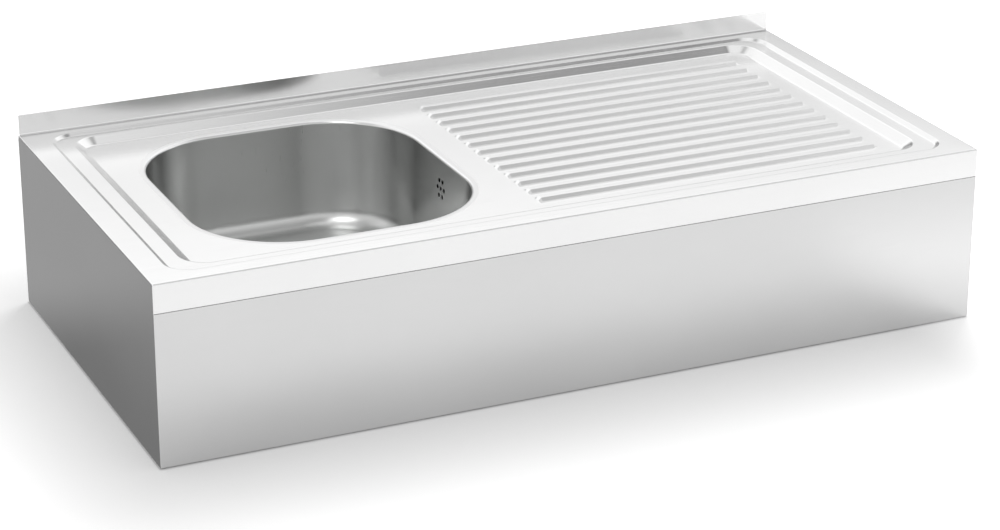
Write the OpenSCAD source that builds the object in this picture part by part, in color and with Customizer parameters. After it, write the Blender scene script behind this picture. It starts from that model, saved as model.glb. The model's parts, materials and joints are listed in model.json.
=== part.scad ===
// Sheet-steel kitchen sink with one bowl on the left, a ribbed drainer on the right
// and a skirt all round. Millimetres, +Z up, front towards -Y. The origin is at the
// middle of the footprint, on the plane that the skirt stands on.

/* [Box] */
// Overall width, left to right
box_w = 1200; // [1100:5:1600]
// Overall depth, front to back
box_d = 600; // [560:5:700]
// Height of the flat border above the skirt's lower edge
box_h = 253; // [240:1:360]
// Height of the upstand above the border
upstand_h = 30; // [15:1:100]
// How far the upstand stops short of each end
upstand_end_gap = 2; // [0.5:0.5:6]
// Height of the worktop's front fascia
fascia_h = 40; // [30:1:60]
// Thickness of the worktop and panel sheet
sheet_t = 1.2; // [0.8:0.1:2]
// Outside radius of a folded edge
fold_r = 2.5; // [2.2:0.1:4]
// Radius of the hollow at the foot of the upstand
upstand_fold_r = 3; // [2:0.5:6]
// Open seam between the fascia and the panel under it
seam_gap = 0.3; // [0.2:0.1:0.6]
// Depth of the turned-in returns
return_d = 20; // [16:1:30]

/* [Pressed rim] */
// Width of the flat border on the left
border_left = 35; // [25:0.5:45]
// Width of the flat border on the right
border_right = 30.5; // [25:0.5:45]
// Width of the flat border at the front
border_front = 27.5; // [25:0.5:40]
// Width of the flat border at the back
border_back = 19; // [15:0.5:30]
// Drop of the outer step
step1_drop = 4.2; // [2:0.1:6]
// Width of the outer step's slope
step1_w = 5; // [3:0.5:8]
// Width of the ledge between the steps on the left
ledge_left = 23.7; // [15:0.1:35]
// Width of the ledge between the steps on the right
ledge_right = 21.5; // [15:0.1:35]
// Width of the ledge between the steps at the front
ledge_front = 18.8; // [10:0.1:25]
// Width of the ledge between the steps at the back
ledge_back = 8; // [5:0.1:20]
// Drop of the inner step
step2_drop = 9.4; // [5:0.1:12]
// Width of the inner step's slope
step2_w = 14; // [10:0.5:20]
// Corner radius of the outer step at its top edge
step1_r = 35; // [25:1:50]
// Corner radius of the inner step at its top edge
step2_r = 38; // [30:1:50]

/* [Bowl] */
// Width of the bowl at its top, left to right
bowl_w = 393; // [360:1:420]
// Corner radius of the bowl
bowl_r = 132; // [90:1:140]
// Bowl's left wall from the left end of the box
bowl_inset = 126; // [110:1:150]
// Bowl's front wall from the front of the box
bowl_front_gap = 95; // [90:1:100]
// Bowl's back wall from the back of the box
bowl_back_gap = 77; // [70:1:90]
// Depth of the bowl from the deck to the foot of its walls
bowl_h = 156; // [140:1:158]
// Rounding of the bowl's top edge
bowl_edge_r = 8; // [5:0.5:12]
// Rounding between walls and floor
bowl_floor_r = 24; // [16:1:35]
// Lean of the bowl's walls, in degrees
bowl_draft = 1.8; // [0.5:0.1:4]
// Thickness of the bowl
bowl_t = 1; // [0.8:0.1:1.5]
// Fall of the dished floor towards the drain
floor_fall = 4; // [2:0.5:5]
// Radius of the dished part of the floor
dish_r = 130; // [100:1:140]
// Radius of the recess that takes the waste's flange
recess_r = 58; // [57.5:0.5:70]
// Depth of the recess
recess_h = 3; // [2.5:0.1:3.5]
// Radius of the drain hole
drain_r = 45; // [43:0.5:46]

/* [Drainer] */
// Distance from one rib to the next
rib_pitch = 33.66; // [25:0.02:60]
// Width of a rib at its foot
rib_w = 16.6; // [12:0.1:20]
// Height of a rib
rib_h = 4; // [2:0.1:6]
// Width of the sloping sides and ends of a rib
rib_side_w = 4.2; // [2:0.1:6]
// Gap between the bowl and the ribs' left ends
rib_bowl_gap = 54; // [40:1:80]
// Gap between the ribs' right ends and the deck's right edge
rib_end_gap = 32; // [15:1:60]
// Gap between the deck's front edge and the first rib
rib_front_gap = 30.84; // [20:0.02:60]
// Least gap between the last rib and the deck's back edge
rib_back_gap = 30; // [20:1:60]
// Thickness of the backing board under the drainer
board_t = 12; // [8:1:18]
// Height of the stiffening rails under the board
rail_h = 25; // [15:1:35]
// Width of a rail's hollow rib
rail_crown_w = 40; // [30:1:60]
// Width of a rail's fixing flanges
rail_flange_w = 16; // [14:1:25]

/* [Overflow] */
// Radius of each overflow hole
overflow_hole_r = 3.3; // [2:0.1:3.6]
// Distance between neighbouring overflow holes in a row
overflow_pitch = 11; // [9:0.1:12]
// Distance between the rows of overflow holes
overflow_row_pitch = 10.9; // [9:0.1:12]
// Middle of the overflow holes below the deck
overflow_drop = 43.6; // [40:0.1:50]
// Middle of the overflow holes in front of the bowl's middle
overflow_offset = 6.5; // [0:0.5:12]
// Bore of the overflow hose's spigots
spigot_bore_r = 7.5; // [6:0.1:7.8]
// Outside radius of the overflow hose's spigots
spigot_r = 9.5; // [9.2:0.1:10]
// Wall of the overflow hose
hose_wall = 1.4; // [1:0.1:2]
// Height of the hose's ribs
hose_rib_h = 1.5; // [1:0.1:2]
// Distance from one hose rib to the next
hose_rib_pitch = 4.2; // [4:0.1:6]
// Bend radius of the hose
hose_bend_r = 45; // [35:1:50]

/* [Waste] */
// Radius of the waste's flange
waste_flange_r = 56; // [54:0.5:57]
// Inside radius of the waste's cup
cup_r = 41; // [39:0.2:41]
// Depth of the cup down to its seat
cup_h = 20; // [18:0.5:21]
// Height of the sloping seat
seat_h = 6.4; // [5.5:0.1:7]
// Inside radius of the sump under the seat
sump_r = 31; // [28:0.5:32]
// Depth of the sump
sump_h = 9.6; // [9:0.1:10.5]
// Thickness of the waste's sheet steel
cup_t = 1.2; // [1:0.1:1.4]
// Wall of the moulded waste body
body_wall = 3; // [2.5:0.1:3.5]
// Outside radius of the outlet, a one and a half inch pipe thread
outlet_r = 23.9; // [20:0.1:26]
// Length of the outlet
outlet_len = 18; // [15:0.5:18]
// Radius of the plug's stem
stem_r = 3.5; // [3:0.1:4]
// Travel of the plug in the basket
plug_travel = 5; // [3:0.5:5]

/* [Fixings] */
// Radius of the wall-fixing holes
wall_hole_r = 5.5; // [4:0.1:7]
// Wall-fixing holes from each end of the box
wall_hole_inset = 60; // [50:1:100]
// Height of the lower wall-fixing holes
wall_hole_low = 60; // [40:1:90]
// Height of the upper wall-fixing holes above the lower ones
wall_hole_rise = 140; // [80:1:145]
// Radius of the stand-fixing holes in the corner plates
stand_hole_r = 4.5; // [3:0.1:6]
// Stand-fixing holes from each outer face
stand_hole_inset = 40; // [36:1:45]
// Side of a corner plate
plate_side = 60; // [55:1:70]
// Thickness of a corner plate
plate_t = 3; // [2:0.5:4]
// Number of screws along the front seam
seam_screws = 5; // [3:1:9]

/* [Hidden] */

// Colours
steel_colour = [0.84, 0.85, 0.86];
polished_colour = [0.74, 0.76, 0.78];
board_colour = [0.72, 0.58, 0.40];
rubber_colour = [0.16, 0.16, 0.17];
plastic_colour = [0.93, 0.93, 0.91];
brass_colour = [0.80, 0.66, 0.32];
zinc_colour = [0.66, 0.69, 0.72];

// Smoothness of round exact shapes, and steps in a bend, a corner and a bowl edge
$fn = 48;
bend_steps = 4;
corner_steps = 10;
edge_steps = 4;
hose_sides = 8;

// Clearances: between laid-together sheets, at seats that part, and overrun of a cut
lap = 0.1;
seat_gap = 0.3;
over = 1;

// Faces of the box
x_left = -box_w / 2;
x_right = box_w / 2;
y_front = -box_d / 2;
y_back = box_d / 2;

// Levels
fascia_z = box_h - fascia_h;
apron_top_z = fascia_z - seam_gap;
ledge_z = box_h - step1_drop;
deck_z = ledge_z - step2_drop;
side_top_z = box_h - sheet_t - lap;
deck_under_z = deck_z - sheet_t;

// Margins of the four pressed outlines as [left, right, front, back]
border = [border_left, border_right, border_front, border_back];
ledge = [ledge_left, ledge_right, ledge_front, ledge_back];
step1_foot = [for (m = border) m + step1_w];
step2_top = step1_foot + ledge;
deck_margin = [for (m = step2_top) m + step2_w];

// Bowl outline, levels and middle
bowl_x0 = x_left + bowl_inset;
bowl_x1 = bowl_x0 + bowl_w;
bowl_y0 = y_front + bowl_front_gap;
bowl_y1 = y_back - bowl_back_gap;
bowl_d = bowl_y1 - bowl_y0;
bowl_mid = [(bowl_x0 + bowl_x1) / 2, (bowl_y0 + bowl_y1) / 2];
bowl_floor_z = deck_z - bowl_h;
dish_z = bowl_floor_z - floor_fall;
recess_z = dish_z - recess_h;
recess_under_z = recess_z - bowl_t;
lip_land = 2;
weld_gap = 0.05;

// Lean of the walls: the inset where a wall starts under the edge and its depth there
edge_inset = bowl_edge_r * (cos(bowl_draft) - 1);
edge_foot_z = deck_z - bowl_edge_r + bowl_edge_r * sin(bowl_draft);
bend_start_z = bowl_floor_z + bowl_floor_r * (1 - sin(bowl_draft));
bend_mid_inset = wall_inset(bend_start_z) + bowl_floor_r * cos(bowl_draft);

// Sound-deadening pads
pad_edge = 9;
pad_w = bowl_w - 2 * bowl_r - pad_edge;
pad_h = 84;
pad_t = 3;
pad_z = (edge_foot_z + bend_start_z) / 2;

// Ribs
rib_x0 = bowl_x1 + rib_bowl_gap;
rib_x1 = x_right - deck_margin[1] - rib_end_gap;
rib_first_y = y_front + deck_margin[2] + rib_front_gap + rib_w / 2;
rib_last_y = y_back - deck_margin[3] - rib_back_gap - rib_w / 2;
rib_count = floor((rib_last_y - rib_first_y) / rib_pitch) + 1;

// Board and rails under the drainer
board_gap = 40;
board_margin = 10;
board_x0 = bowl_x1 + board_gap;
board_x1 = x_right - deck_margin[1] - board_margin;
board_y0 = y_front + deck_margin[2] + board_margin;
board_y1 = y_back - deck_margin[3] - board_margin;
board_top_z = deck_under_z - lap;
board_under_z = board_top_z - board_t;
rail_top_z = board_under_z - lap;
rail_place_shares = [0.22, 0.78];
rail_x = [for (s = rail_place_shares) board_x0 + (board_x1 - board_x0) * s];
rail_screw_shares = [0.1, 0.5, 0.9];
rail_screw_y = [for (s = rail_screw_shares) board_y0 + (board_y1 - board_y0) * s];
rail_screw_x = rail_crown_w / 2 + rail_flange_w / 2;
wood_screw_r = 2;
wood_screw_head_r = 4;
wood_screw_head_h = 2;
wood_screw_share = 0.8;
wood_screw_tip_z = board_under_z + board_t * wood_screw_share;
screw_clear = 0.1;

// Front seam screws and nuts, M5
m5_r = 2.5;
m5_hole_r = 2.75;
m5_head_r = 4.6;
m5_head_h = 3.5;
m5_nut_h = 4;
m5_tail = 2;
seam_screw_share = 0.6;
seam_screw_y = y_front + return_d * seam_screw_share;
seam_screw_inset = 80;
seam_span = box_w - 2 * seam_screw_inset;
seam_screw_x = [for (i = [0:seam_screws - 1]) -seam_span / 2 + seam_span * i / (seam_screws - 1)];

// How much a side panel's welding tabs stop short of its flanges
tab_trim = 2;

// Corner plates and their rivets
plate_clear = 3;
plate_z = sheet_t + lap;
rivet_r = 2.4;
rivet_hole_r = 2.5;
rivet_head_r = 4.6;
rivet_head_h = 1.2;
rivet_lift = 0.2;
rivet_edge = 12;
rivet_near = 28;
rivet_far = 52;
rivet_spots = [[rivet_near, rivet_edge], [rivet_far, rivet_edge], [rivet_edge, rivet_far]];
corners = [[-1, -1], [1, -1], [1, 1], [-1, 1]];

// Rear panel's service opening
service_w = 420;
service_low = 40;
service_h = 150;
service_r = 12;

// Overflow group, in a frame on the outside of the right wall
overflow_z = deck_z - overflow_drop;
overflow_y = bowl_mid[1] - overflow_offset;
overflow_t = 2;
housing_w = 52;
housing_h = 46;
housing_out = 24;
housing_wall = 2;
housing_flange_t = 3;
housing_ear_w = 84;
housing_ear_h = 22;
housing_x = 2 * lap + overflow_t;
stud_y = 34;
stud_r = 2.4;
stud_hole_r = 2.8;
stud_len = 13;
stud_pad_r = 4.5;
stud_pad_h = 1;
spigot_len = 20;
hose_x = housing_x + housing_out - spigot_r - housing_wall;
gasket_inner_w = 36;
gasket_inner_h = 34;

// Waste, around the drain's axis
drain = bowl_mid;
gasket_t = 1.5;
flange_t = dish_z - recess_z - gasket_t - 2 * weld_gap;
flange_under_z = dish_z - flange_t;
seat_top_z = dish_z - cup_h;
seat_low_z = seat_top_z - seat_h;
sump_z = seat_low_z - sump_h;
mouth_flare = 2;
sump_hole_r = 5;
sump_hole_ring = 19;
sump_holes = 6;
screw_r = 3.9;
screw_bore_r = 4;
screw_hole_r = 4.2;
screw_head_r = 7.5;
screw_head_h = 2.6;
slot_w = 1.6;
insert_r = 6;
boss_r = 10;
body_gasket_t = 3;
collar_t = 4;
collar_r = 57;
body_ring = 1.5;
body_bore_r = drain_r + body_ring;
collar_z = recess_under_z - body_gasket_t - 2 * lap;
gasket_lip = 2;
boss_gap = 1;
boss_top_z = sump_z - cup_t - boss_gap;
web_h = 7;
web_w = 7;
web_top_z = boss_top_z - lap;
boss_h = 11;
funnel_h = 10;
funnel_z = web_top_z - web_h;
outlet_top_z = funnel_z - funnel_h;
outlet_z = outlet_top_z - outlet_len;
outlet_bore_r = outlet_r - body_wall;
inlet_drop = 14;
inlet_z = collar_z - collar_t - inlet_drop;
inlet_tip = body_bore_r + body_wall + spigot_len + body_wall;

// Overflow hose, in the plane y = overflow_y: down along the wall, a bend, then level
hose_grip = 0.15;
hose_bore_r = (spigot_r + hose_grip) / cos(180 / hose_sides);
hose_r = hose_bore_r + hose_wall;
hose_cuff = 2 * hose_r;
hose_shoulder = 2;
hose_down = [-sin(bowl_draft), -cos(bowl_draft)];
hose_turn = 90 - bowl_draft;
hose_reach = housing_h / 2 + hose_shoulder;
hose_start = [wall_out_x(overflow_z) + hose_x * cos(bowl_draft) - hose_reach * sin(bowl_draft),
  overflow_z - hose_x * sin(bowl_draft) - hose_reach * cos(bowl_draft)];
hose_drop_len = (hose_start[1] - inlet_z - hose_bend_r * (1 - sin(bowl_draft))) / cos(bowl_draft);
hose_centre = hose_start + hose_down * hose_drop_len + hose_bend_r * [-cos(bowl_draft), sin(bowl_draft)];
hose_arc_len = hose_bend_r * hose_turn * PI / 180;
hose_end_x = drain[0] + inlet_tip - spigot_len + hose_shoulder;
hose_level_len = hose_centre[0] - hose_end_x;
hose_len = hose_drop_len + hose_arc_len + hose_level_len;
hose_ribs = floor((hose_len - 2 * hose_cuff) / hose_rib_pitch);
clip_t = 1.2;
clip_w = 9;
clip_at = 9;
clip_lug_w = 7;
clip_lug_h = 6;

// Basket and plug
basket_side_gap = 3;
basket_t = 0.8;
basket_rim_t = 1.6;
basket_rim_r = cup_r + mouth_flare - seat_gap * sqrt(2);
basket_low_gap = plug_travel + 2 * seat_gap;
seal_h = 3;
seal_lift = 2;
seal_z = seat_low_z + seal_lift;
seat_run = cup_r - sump_r;
seal_side_gap = seat_gap * norm([seat_run, seat_h]) / seat_h;
bush_h = 1.5;
bush_r = 7;
basket_floor_z = seal_z + seal_h + basket_low_gap + bush_h;
stem_play = 0.08;
basket_top_z = dish_z;
basket_hole_r = 2;
basket_rings = [16, 23, 30];
basket_ring_shares = [1, 1.5, 2];
basket_first_ring = 10;
nut_h = 3;
nut_r = 8;
stem_low_z = seal_z - nut_h - 1.5 * lap;
knob_r = 10;
knob_h = 6;
knob_rise = 6;
knob_z = basket_top_z + knob_rise;
knob_bore_h = 4;
knob_shares = [[0.6, 0], [1, 0.45], [1, 0.7], [0.85, 0.92], [0.5, 1]];

// Earth tab on the rear panel, with an M6 bolt
tab_w = 24;
tab_leg = 22;
tab_t = 2;
tab_inset = 160;
tab_x = x_right - tab_inset;
tab_z = 110;
m6_r = 3;
m6_hole_r = 3.3;
m6_head_r = 5.7;
m6_head_h = 4;
m6_nut_h = 5;
m6_tail = 4;

// A unit vector, and a rounded corner at b between a and c
function unit(v) = v / norm(v);
function turned(v) = atan2(v[1], v[0]);
function half_turn(a) = a > 180 ? a - 360 : a < -180 ? a + 360 : a;
function round_corner(a, b, c, r) =
  let (u = unit(a - b),
    v = unit(c - b),
    half = acos(u * v) / 2,
    mid = b + unit(u + v) * r / sin(half),
    start = turned(b + u * r / tan(half) - mid),
    sweep = half_turn(turned(b + v * r / tan(half) - mid) - start))
  [for (i = [0:bend_steps]) let (t = start + sweep * i / bend_steps) mid + r * [cos(t), sin(t)]];

// An outline whose corners are rounded by the radii given, 0 for a sharp one
function rounded(points, radii) =
  let (n = len(points))
  [for (i = [0:n - 1])
    each radii[i] == 0
      ? [points[i]]
      : round_corner(points[(i + n - 1) % n], points[i], points[(i + 1) % n], radii[i])];

// Inset of the bowl's inner wall at a height, and its outer face on the right
function wall_inset(z) = edge_inset + (edge_foot_z - z) * tan(bowl_draft);
function wall_out(z) = wall_inset(z) - bowl_t / cos(bowl_draft);
function wall_out_x(z) = bowl_x1 - wall_out(z);

// A level ring with rounded corners
function ring(x0, x1, y0, y1, r, z) =
  let (mids = [[x1 - r, y1 - r], [x0 + r, y1 - r], [x0 + r, y0 + r], [x1 - r, y0 + r]])
  [for (q = [0:3], i = [0:corner_steps])
    let (a = 90 * (q + i / corner_steps))
    [mids[q][0] + r * cos(a), mids[q][1] + r * sin(a), z]];

// A ring by its margins from the box, and one by its inset from the bowl's outline
function margin_ring(m, r, z) =
  ring(x_left + m[0], x_right - m[1], y_front + m[2], y_back - m[3], r, z);
function bowl_ring(p) =
  ring(bowl_x0 + p[0], bowl_x1 - p[0], bowl_y0 + p[0], bowl_y1 - p[0], bowl_r - p[0], p[1]);

// Inset and level along the bowl's side, on its inner face or, grown, its outer one
function bowl_side(grow) = concat(
  [for (i = [0:edge_steps])
    let (a = (90 - bowl_draft) * i / edge_steps, r = bowl_edge_r - grow)
    [-bowl_edge_r + r * sin(a), deck_z - bowl_edge_r + r * cos(a)]],
  [for (i = [0:edge_steps + 1])
    let (a = bowl_draft + (90 - bowl_draft) * i / (edge_steps + 1), r = bowl_floor_r + grow)
    [bend_mid_inset - r * cos(a), bowl_floor_z + bowl_floor_r - r * sin(a)]]);

// A closed solid through level rings, the first one highest
module loft(rings) {
  n = len(rings[0]);
  k = len(rings);
  polyhedron(
    points = [for (r = rings) each r],
    faces = concat(
      [for (j = [0:k - 2], i = [0:n - 1])
        [j * n + i, j * n + (i + 1) % n, (j + 1) * n + (i + 1) % n, (j + 1) * n + i]],
      [[for (i = [0:n - 1]) n - 1 - i]],
      [[for (i = [0:n - 1]) (k - 1) * n + i]]));
}

// Placing helpers
module along_x(x0, x1) {
  translate([x0, 0, 0]) rotate([90, 0, 90]) linear_extrude(x1 - x0) children();
}
module along_y(y0, y1) {
  translate([0, y1, 0]) rotate([90, 0, 0]) linear_extrude(y1 - y0) children();
}
module block(low, high) {
  translate(low) cube(high - low);
}
module pin(x, y, z0, z1, r) {
  translate([x, y, z0]) cylinder(h = z1 - z0, r = r);
}
module hexagon(x, y, z0, z1, r) {
  translate([x, y, z0]) cylinder(h = z1 - z0, r = r, $fn = 6);
}
module at_drain() {
  translate([drain[0], drain[1], 0]) children();
}
module on_wall() {
  translate([wall_out_x(overflow_z), overflow_y, overflow_z]) rotate([0, bowl_draft, 0]) children();
}
module across(y, z, x0, x1, r) {
  translate([x0, y, z]) rotate([0, 90, 0]) cylinder(h = x1 - x0, r = r);
}
module upright_rounded(x0, x1, y0, y1, r, z0, z1) {
  translate([0, 0, z0]) linear_extrude(z1 - z0) {
    translate([x0 + r, y0]) square([x1 - x0 - 2 * r, y1 - y0]);
    translate([x0, y0 + r]) square([x1 - x0, y1 - y0 - 2 * r]);
    for (x = [x0 + r, x1 - r], y = [y0 + r, y1 - r]) translate([x, y]) circle(r, $fn = 96);
  }
}

// Worktop: one pressed and folded sheet
module front_fold() {
  along_x(x_left, x_right) polygon(rounded(
    [[y_front + return_d, fascia_z], [y_front, fascia_z], [y_front, box_h], [y_front + return_d, box_h],
      [y_front + return_d, box_h - sheet_t], [y_front + sheet_t, box_h - sheet_t],
      [y_front + sheet_t, fascia_z + sheet_t], [y_front + return_d, fascia_z + sheet_t]],
    [0, fold_r, fold_r, 0, 0, fold_r - sheet_t, fold_r - sheet_t, 0]));
}
module back_fold() {
  along_x(x_left, x_right) polygon(rounded(
    [[y_back - border_back / 2, box_h], [y_back - sheet_t, box_h], [y_back - sheet_t, box_h + upstand_h],
      [y_back, box_h + upstand_h], [y_back, box_h - sheet_t], [y_back - border_back / 2, box_h - sheet_t]],
    [0, upstand_fold_r, 0, 0, upstand_fold_r + sheet_t, 0]));
}
module pressing(lower) {
  rise = lower == 0 ? over : sheet_t;
  translate([0, 0, -lower]) loft([
    margin_ring(border, step1_r, box_h + rise),
    margin_ring(border, step1_r, box_h),
    margin_ring(step1_foot, step1_r - step1_w, ledge_z),
    margin_ring(step2_top, step2_r, ledge_z),
    margin_ring(deck_margin, step2_r - step2_w, deck_z)]);
}
module rib(y, lower) {
  low = deck_z - lower;
  foot_w = rib_side_w * (lower + over) / rib_h;
  intersection() {
    along_x(rib_x0 - over, rib_x1 + over) polygon([
      [y - rib_w / 2 - foot_w, low - lower - over],
      [y - rib_w / 2 + rib_side_w, low + rib_h],
      [y + rib_w / 2 - rib_side_w, low + rib_h],
      [y + rib_w / 2 + foot_w, low - lower - over]]);
    along_y(y - rib_w, y + rib_w) polygon([
      [rib_x0 - foot_w, low - lower - over],
      [rib_x0 + rib_side_w, low + rib_h],
      [rib_x1 - rib_side_w, low + rib_h],
      [rib_x1 + foot_w, low - lower - over]]);
  }
}
module worktop() color(steel_colour) difference() {
  union() {
    difference() {
      union() {
        block([x_left, y_front + return_d, box_h - sheet_t], [x_right, y_back - border_back / 2, box_h]);
        front_fold();
        back_fold();
        pressing(sheet_t);
      }
      pressing(0);
    }
    for (i = [0:rib_count - 1]) intersection() {
      rib(rib_first_y + i * rib_pitch, 0);
      block([rib_x0 - over, y_front, deck_under_z + sheet_t / 2], [rib_x1 + over, y_back, box_h]);
    }
  }
  for (i = [0:rib_count - 1]) rib(rib_first_y + i * rib_pitch, sheet_t);
  translate([0, 0, deck_under_z - over]) linear_extrude(box_h - deck_under_z)
    polygon([for (p = bowl_ring([-bowl_edge_r - lip_land - weld_gap, 0])) [p[0], p[1]]]);
  for (side = [-1, 1]) {
    outer = side * (x_right + over);
    upstand_end = side * (x_right - upstand_end_gap);
    panel_face = side * (x_right - sheet_t - lap);
    block([min(outer, upstand_end), y_back - border_back, box_h],
      [max(outer, upstand_end), y_back + over, box_h + upstand_h + over]);
    block([min(outer, panel_face), y_front + sheet_t, fascia_z - over],
      [max(outer, panel_face), y_front + return_d + over, box_h - sheet_t]);
  }
  for (x = seam_screw_x) pin(x, seam_screw_y, fascia_z - over, fascia_z + sheet_t + over, m5_hole_r);
}

// Bowl: one deep pressing, welded into the worktop
module bowl() color(steel_colour) difference() {
  union() {
    difference() {
      loft(concat(
        [for (z = [deck_z, deck_z - bowl_t]) bowl_ring([-bowl_edge_r - lip_land, z])],
        [for (p = bowl_side(bowl_t)) bowl_ring(p)]));
      loft(concat(
        [bowl_ring([-bowl_edge_r, deck_z + over])],
        [for (p = bowl_side(0)) bowl_ring(p)]));
      at_drain() pin(0, 0, bowl_floor_z - bowl_t - over, bowl_floor_z + over, dish_r);
    }
    at_drain() rotate_extrude($fn = 96) polygon([
      [dish_r, bowl_floor_z], [recess_r, dish_z], [recess_r, recess_z], [drain_r, recess_z],
      [drain_r, recess_under_z], [recess_r + bowl_t, recess_under_z], [recess_r + bowl_t, dish_z - bowl_t],
      [dish_r, bowl_floor_z - bowl_t]]);
  }
  on_wall() overflow_holes();
}
module overflow_holes() {
  for (row = [-1:1])
    for (i = row == 0 ? [-1, 0, 1] : [-0.5, 0.5])
      across(i * overflow_pitch, row * overflow_row_pitch, -bowl_t - over, over, overflow_hole_r);
}

// Skirt panels, folded inwards at their edges
module end_notches(z0, z1, y_side, depth) {
  y0 = y_side < 0 ? y_front + sheet_t : y_back - sheet_t - depth;
  for (side = [-1, 1]) {
    x0 = side < 0 ? x_left - over : x_right - sheet_t - lap;
    block([x0, y0, z0], [x0 + sheet_t + lap + over, y0 + depth, z1]);
  }
}
module front_apron() color(steel_colour) difference() {
  along_x(x_left, x_right) polygon(rounded(
    [[y_front + return_d, 0], [y_front, 0], [y_front, apron_top_z], [y_front + return_d, apron_top_z],
      [y_front + return_d, apron_top_z - sheet_t], [y_front + sheet_t, apron_top_z - sheet_t],
      [y_front + sheet_t, sheet_t], [y_front + return_d, sheet_t]],
    [0, fold_r, fold_r, 0, 0, fold_r - sheet_t, fold_r - sheet_t, 0]));
  end_notches(-over, apron_top_z + over, -1, return_d + over);
  for (x = seam_screw_x) pin(x, seam_screw_y, apron_top_z - sheet_t - over, apron_top_z + over, m5_hole_r);
  rivet_holes(-over, sheet_t + over);
}
module side_panel() {
  y0 = y_front + sheet_t + lap;
  y1 = y_back - sheet_t - lap;
  flange_y0 = y_front + return_d + lap;
  flange_y1 = y_back - return_d - lap;
  tab_low = sheet_t + fold_r;
  tab_high = apron_top_z - sheet_t - fold_r;
  tab_d = return_d - tab_trim;
  difference() {
    union() {
      along_y(flange_y0, flange_y1) polygon(rounded(
        [[x_left, 0], [x_left, side_top_z], [x_left + return_d, side_top_z],
          [x_left + return_d, side_top_z - sheet_t], [x_left + sheet_t, side_top_z - sheet_t],
          [x_left + sheet_t, sheet_t], [x_left + return_d, sheet_t], [x_left + return_d, 0]],
        [fold_r, fold_r, 0, 0, fold_r - sheet_t, fold_r - sheet_t, 0, 0]));
      block([x_left, y0, 0], [x_left + sheet_t, flange_y0, side_top_z]);
      block([x_left, flange_y1, 0], [x_left + sheet_t, y1, side_top_z]);
      block([x_left, y0, tab_low], [x_left + tab_d, y0 + sheet_t, tab_high]);
      block([x_left, y1 - sheet_t, tab_low], [x_left + tab_d, y1, tab_high]);
    }
    rivet_holes(-over, sheet_t + over);
  }
}
module left_side_panel() color(steel_colour) side_panel();
module right_side_panel() color(steel_colour) mirror([1, 0, 0]) side_panel();
module rear_panel() color(steel_colour) difference() {
  along_x(x_left, x_right) polygon(rounded(
    [[y_back - return_d, 0], [y_back - return_d, sheet_t], [y_back - sheet_t, sheet_t],
      [y_back - sheet_t, side_top_z - sheet_t], [y_back - return_d / 2, side_top_z - sheet_t],
      [y_back - return_d / 2, side_top_z], [y_back, side_top_z], [y_back, 0]],
    [0, 0, fold_r - sheet_t, fold_r - sheet_t, 0, 0, upstand_fold_r + sheet_t, fold_r]));
  end_notches(-over, side_top_z + over, 1, return_d + over);
  rivet_holes(-over, sheet_t + over);
  for (side = [-1, 1], z = [wall_hole_low, wall_hole_low + wall_hole_rise])
    translate([side * (x_right - wall_hole_inset), y_back + over, z]) rotate([90, 0, 0])
      cylinder(h = sheet_t + 2 * over, r = wall_hole_r);
  translate([0, y_back + over, 0]) rotate([90, 0, 0])
    upright_rounded(drain[0] - service_w / 2, drain[0] + service_w / 2, service_low,
      service_low + service_h, service_r, 0, sheet_t + 2 * over);
}

// Corner plates over the lower returns, riveted, each with a hole for a stand
module rivet_holes(z0, z1) {
  for (c = corners, p = rivet_spots)
    pin(c[0] * (x_right - p[0]), c[1] * (y_back - p[1]), z0, z1, rivet_hole_r);
}
module corner_plates() color(zinc_colour) difference() {
  for (c = corners) {
    inner = [c[0] * (x_right - plate_side), c[1] * (y_back - plate_side)];
    outer = [c[0] * (x_right - plate_clear), c[1] * (y_back - plate_clear)];
    block([min(inner[0], outer[0]), min(inner[1], outer[1]), plate_z],
      [max(inner[0], outer[0]), max(inner[1], outer[1]), plate_z + plate_t]);
  }
  rivet_holes(plate_z - over, plate_z + plate_t + over);
  for (c = corners)
    pin(c[0] * (x_right - stand_hole_inset), c[1] * (y_back - stand_hole_inset),
      plate_z - over, plate_z + plate_t + over, stand_hole_r);
}
module corner_rivets() color(zinc_colour) {
  head_z = plate_z + plate_t + weld_gap;
  for (c = corners, p = rivet_spots) translate([c[0] * (x_right - p[0]), c[1] * (y_back - p[1]), 0]) {
    pin(0, 0, rivet_lift, head_z + rivet_head_h / 2, rivet_r);
    pin(0, 0, head_z, head_z + rivet_head_h, rivet_head_r);
  }
}

// Screws and nuts that draw the two front returns together
module seam_screws() color(zinc_colour) {
  head_top = apron_top_z - sheet_t - lap;
  for (x = seam_screw_x) {
    hexagon(x, seam_screw_y, head_top - m5_head_h, head_top, m5_head_r);
    pin(x, seam_screw_y, head_top - m5_head_h / 2, fascia_z + sheet_t + m5_nut_h + m5_tail, m5_r);
  }
}
module seam_nuts() color(zinc_colour) {
  z0 = fascia_z + sheet_t + lap;
  for (x = seam_screw_x) difference() {
    hexagon(x, seam_screw_y, z0, z0 + m5_nut_h, m5_head_r);
    pin(x, seam_screw_y, z0 - over, z0 + m5_nut_h + over, m5_r + screw_clear);
  }
}

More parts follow.
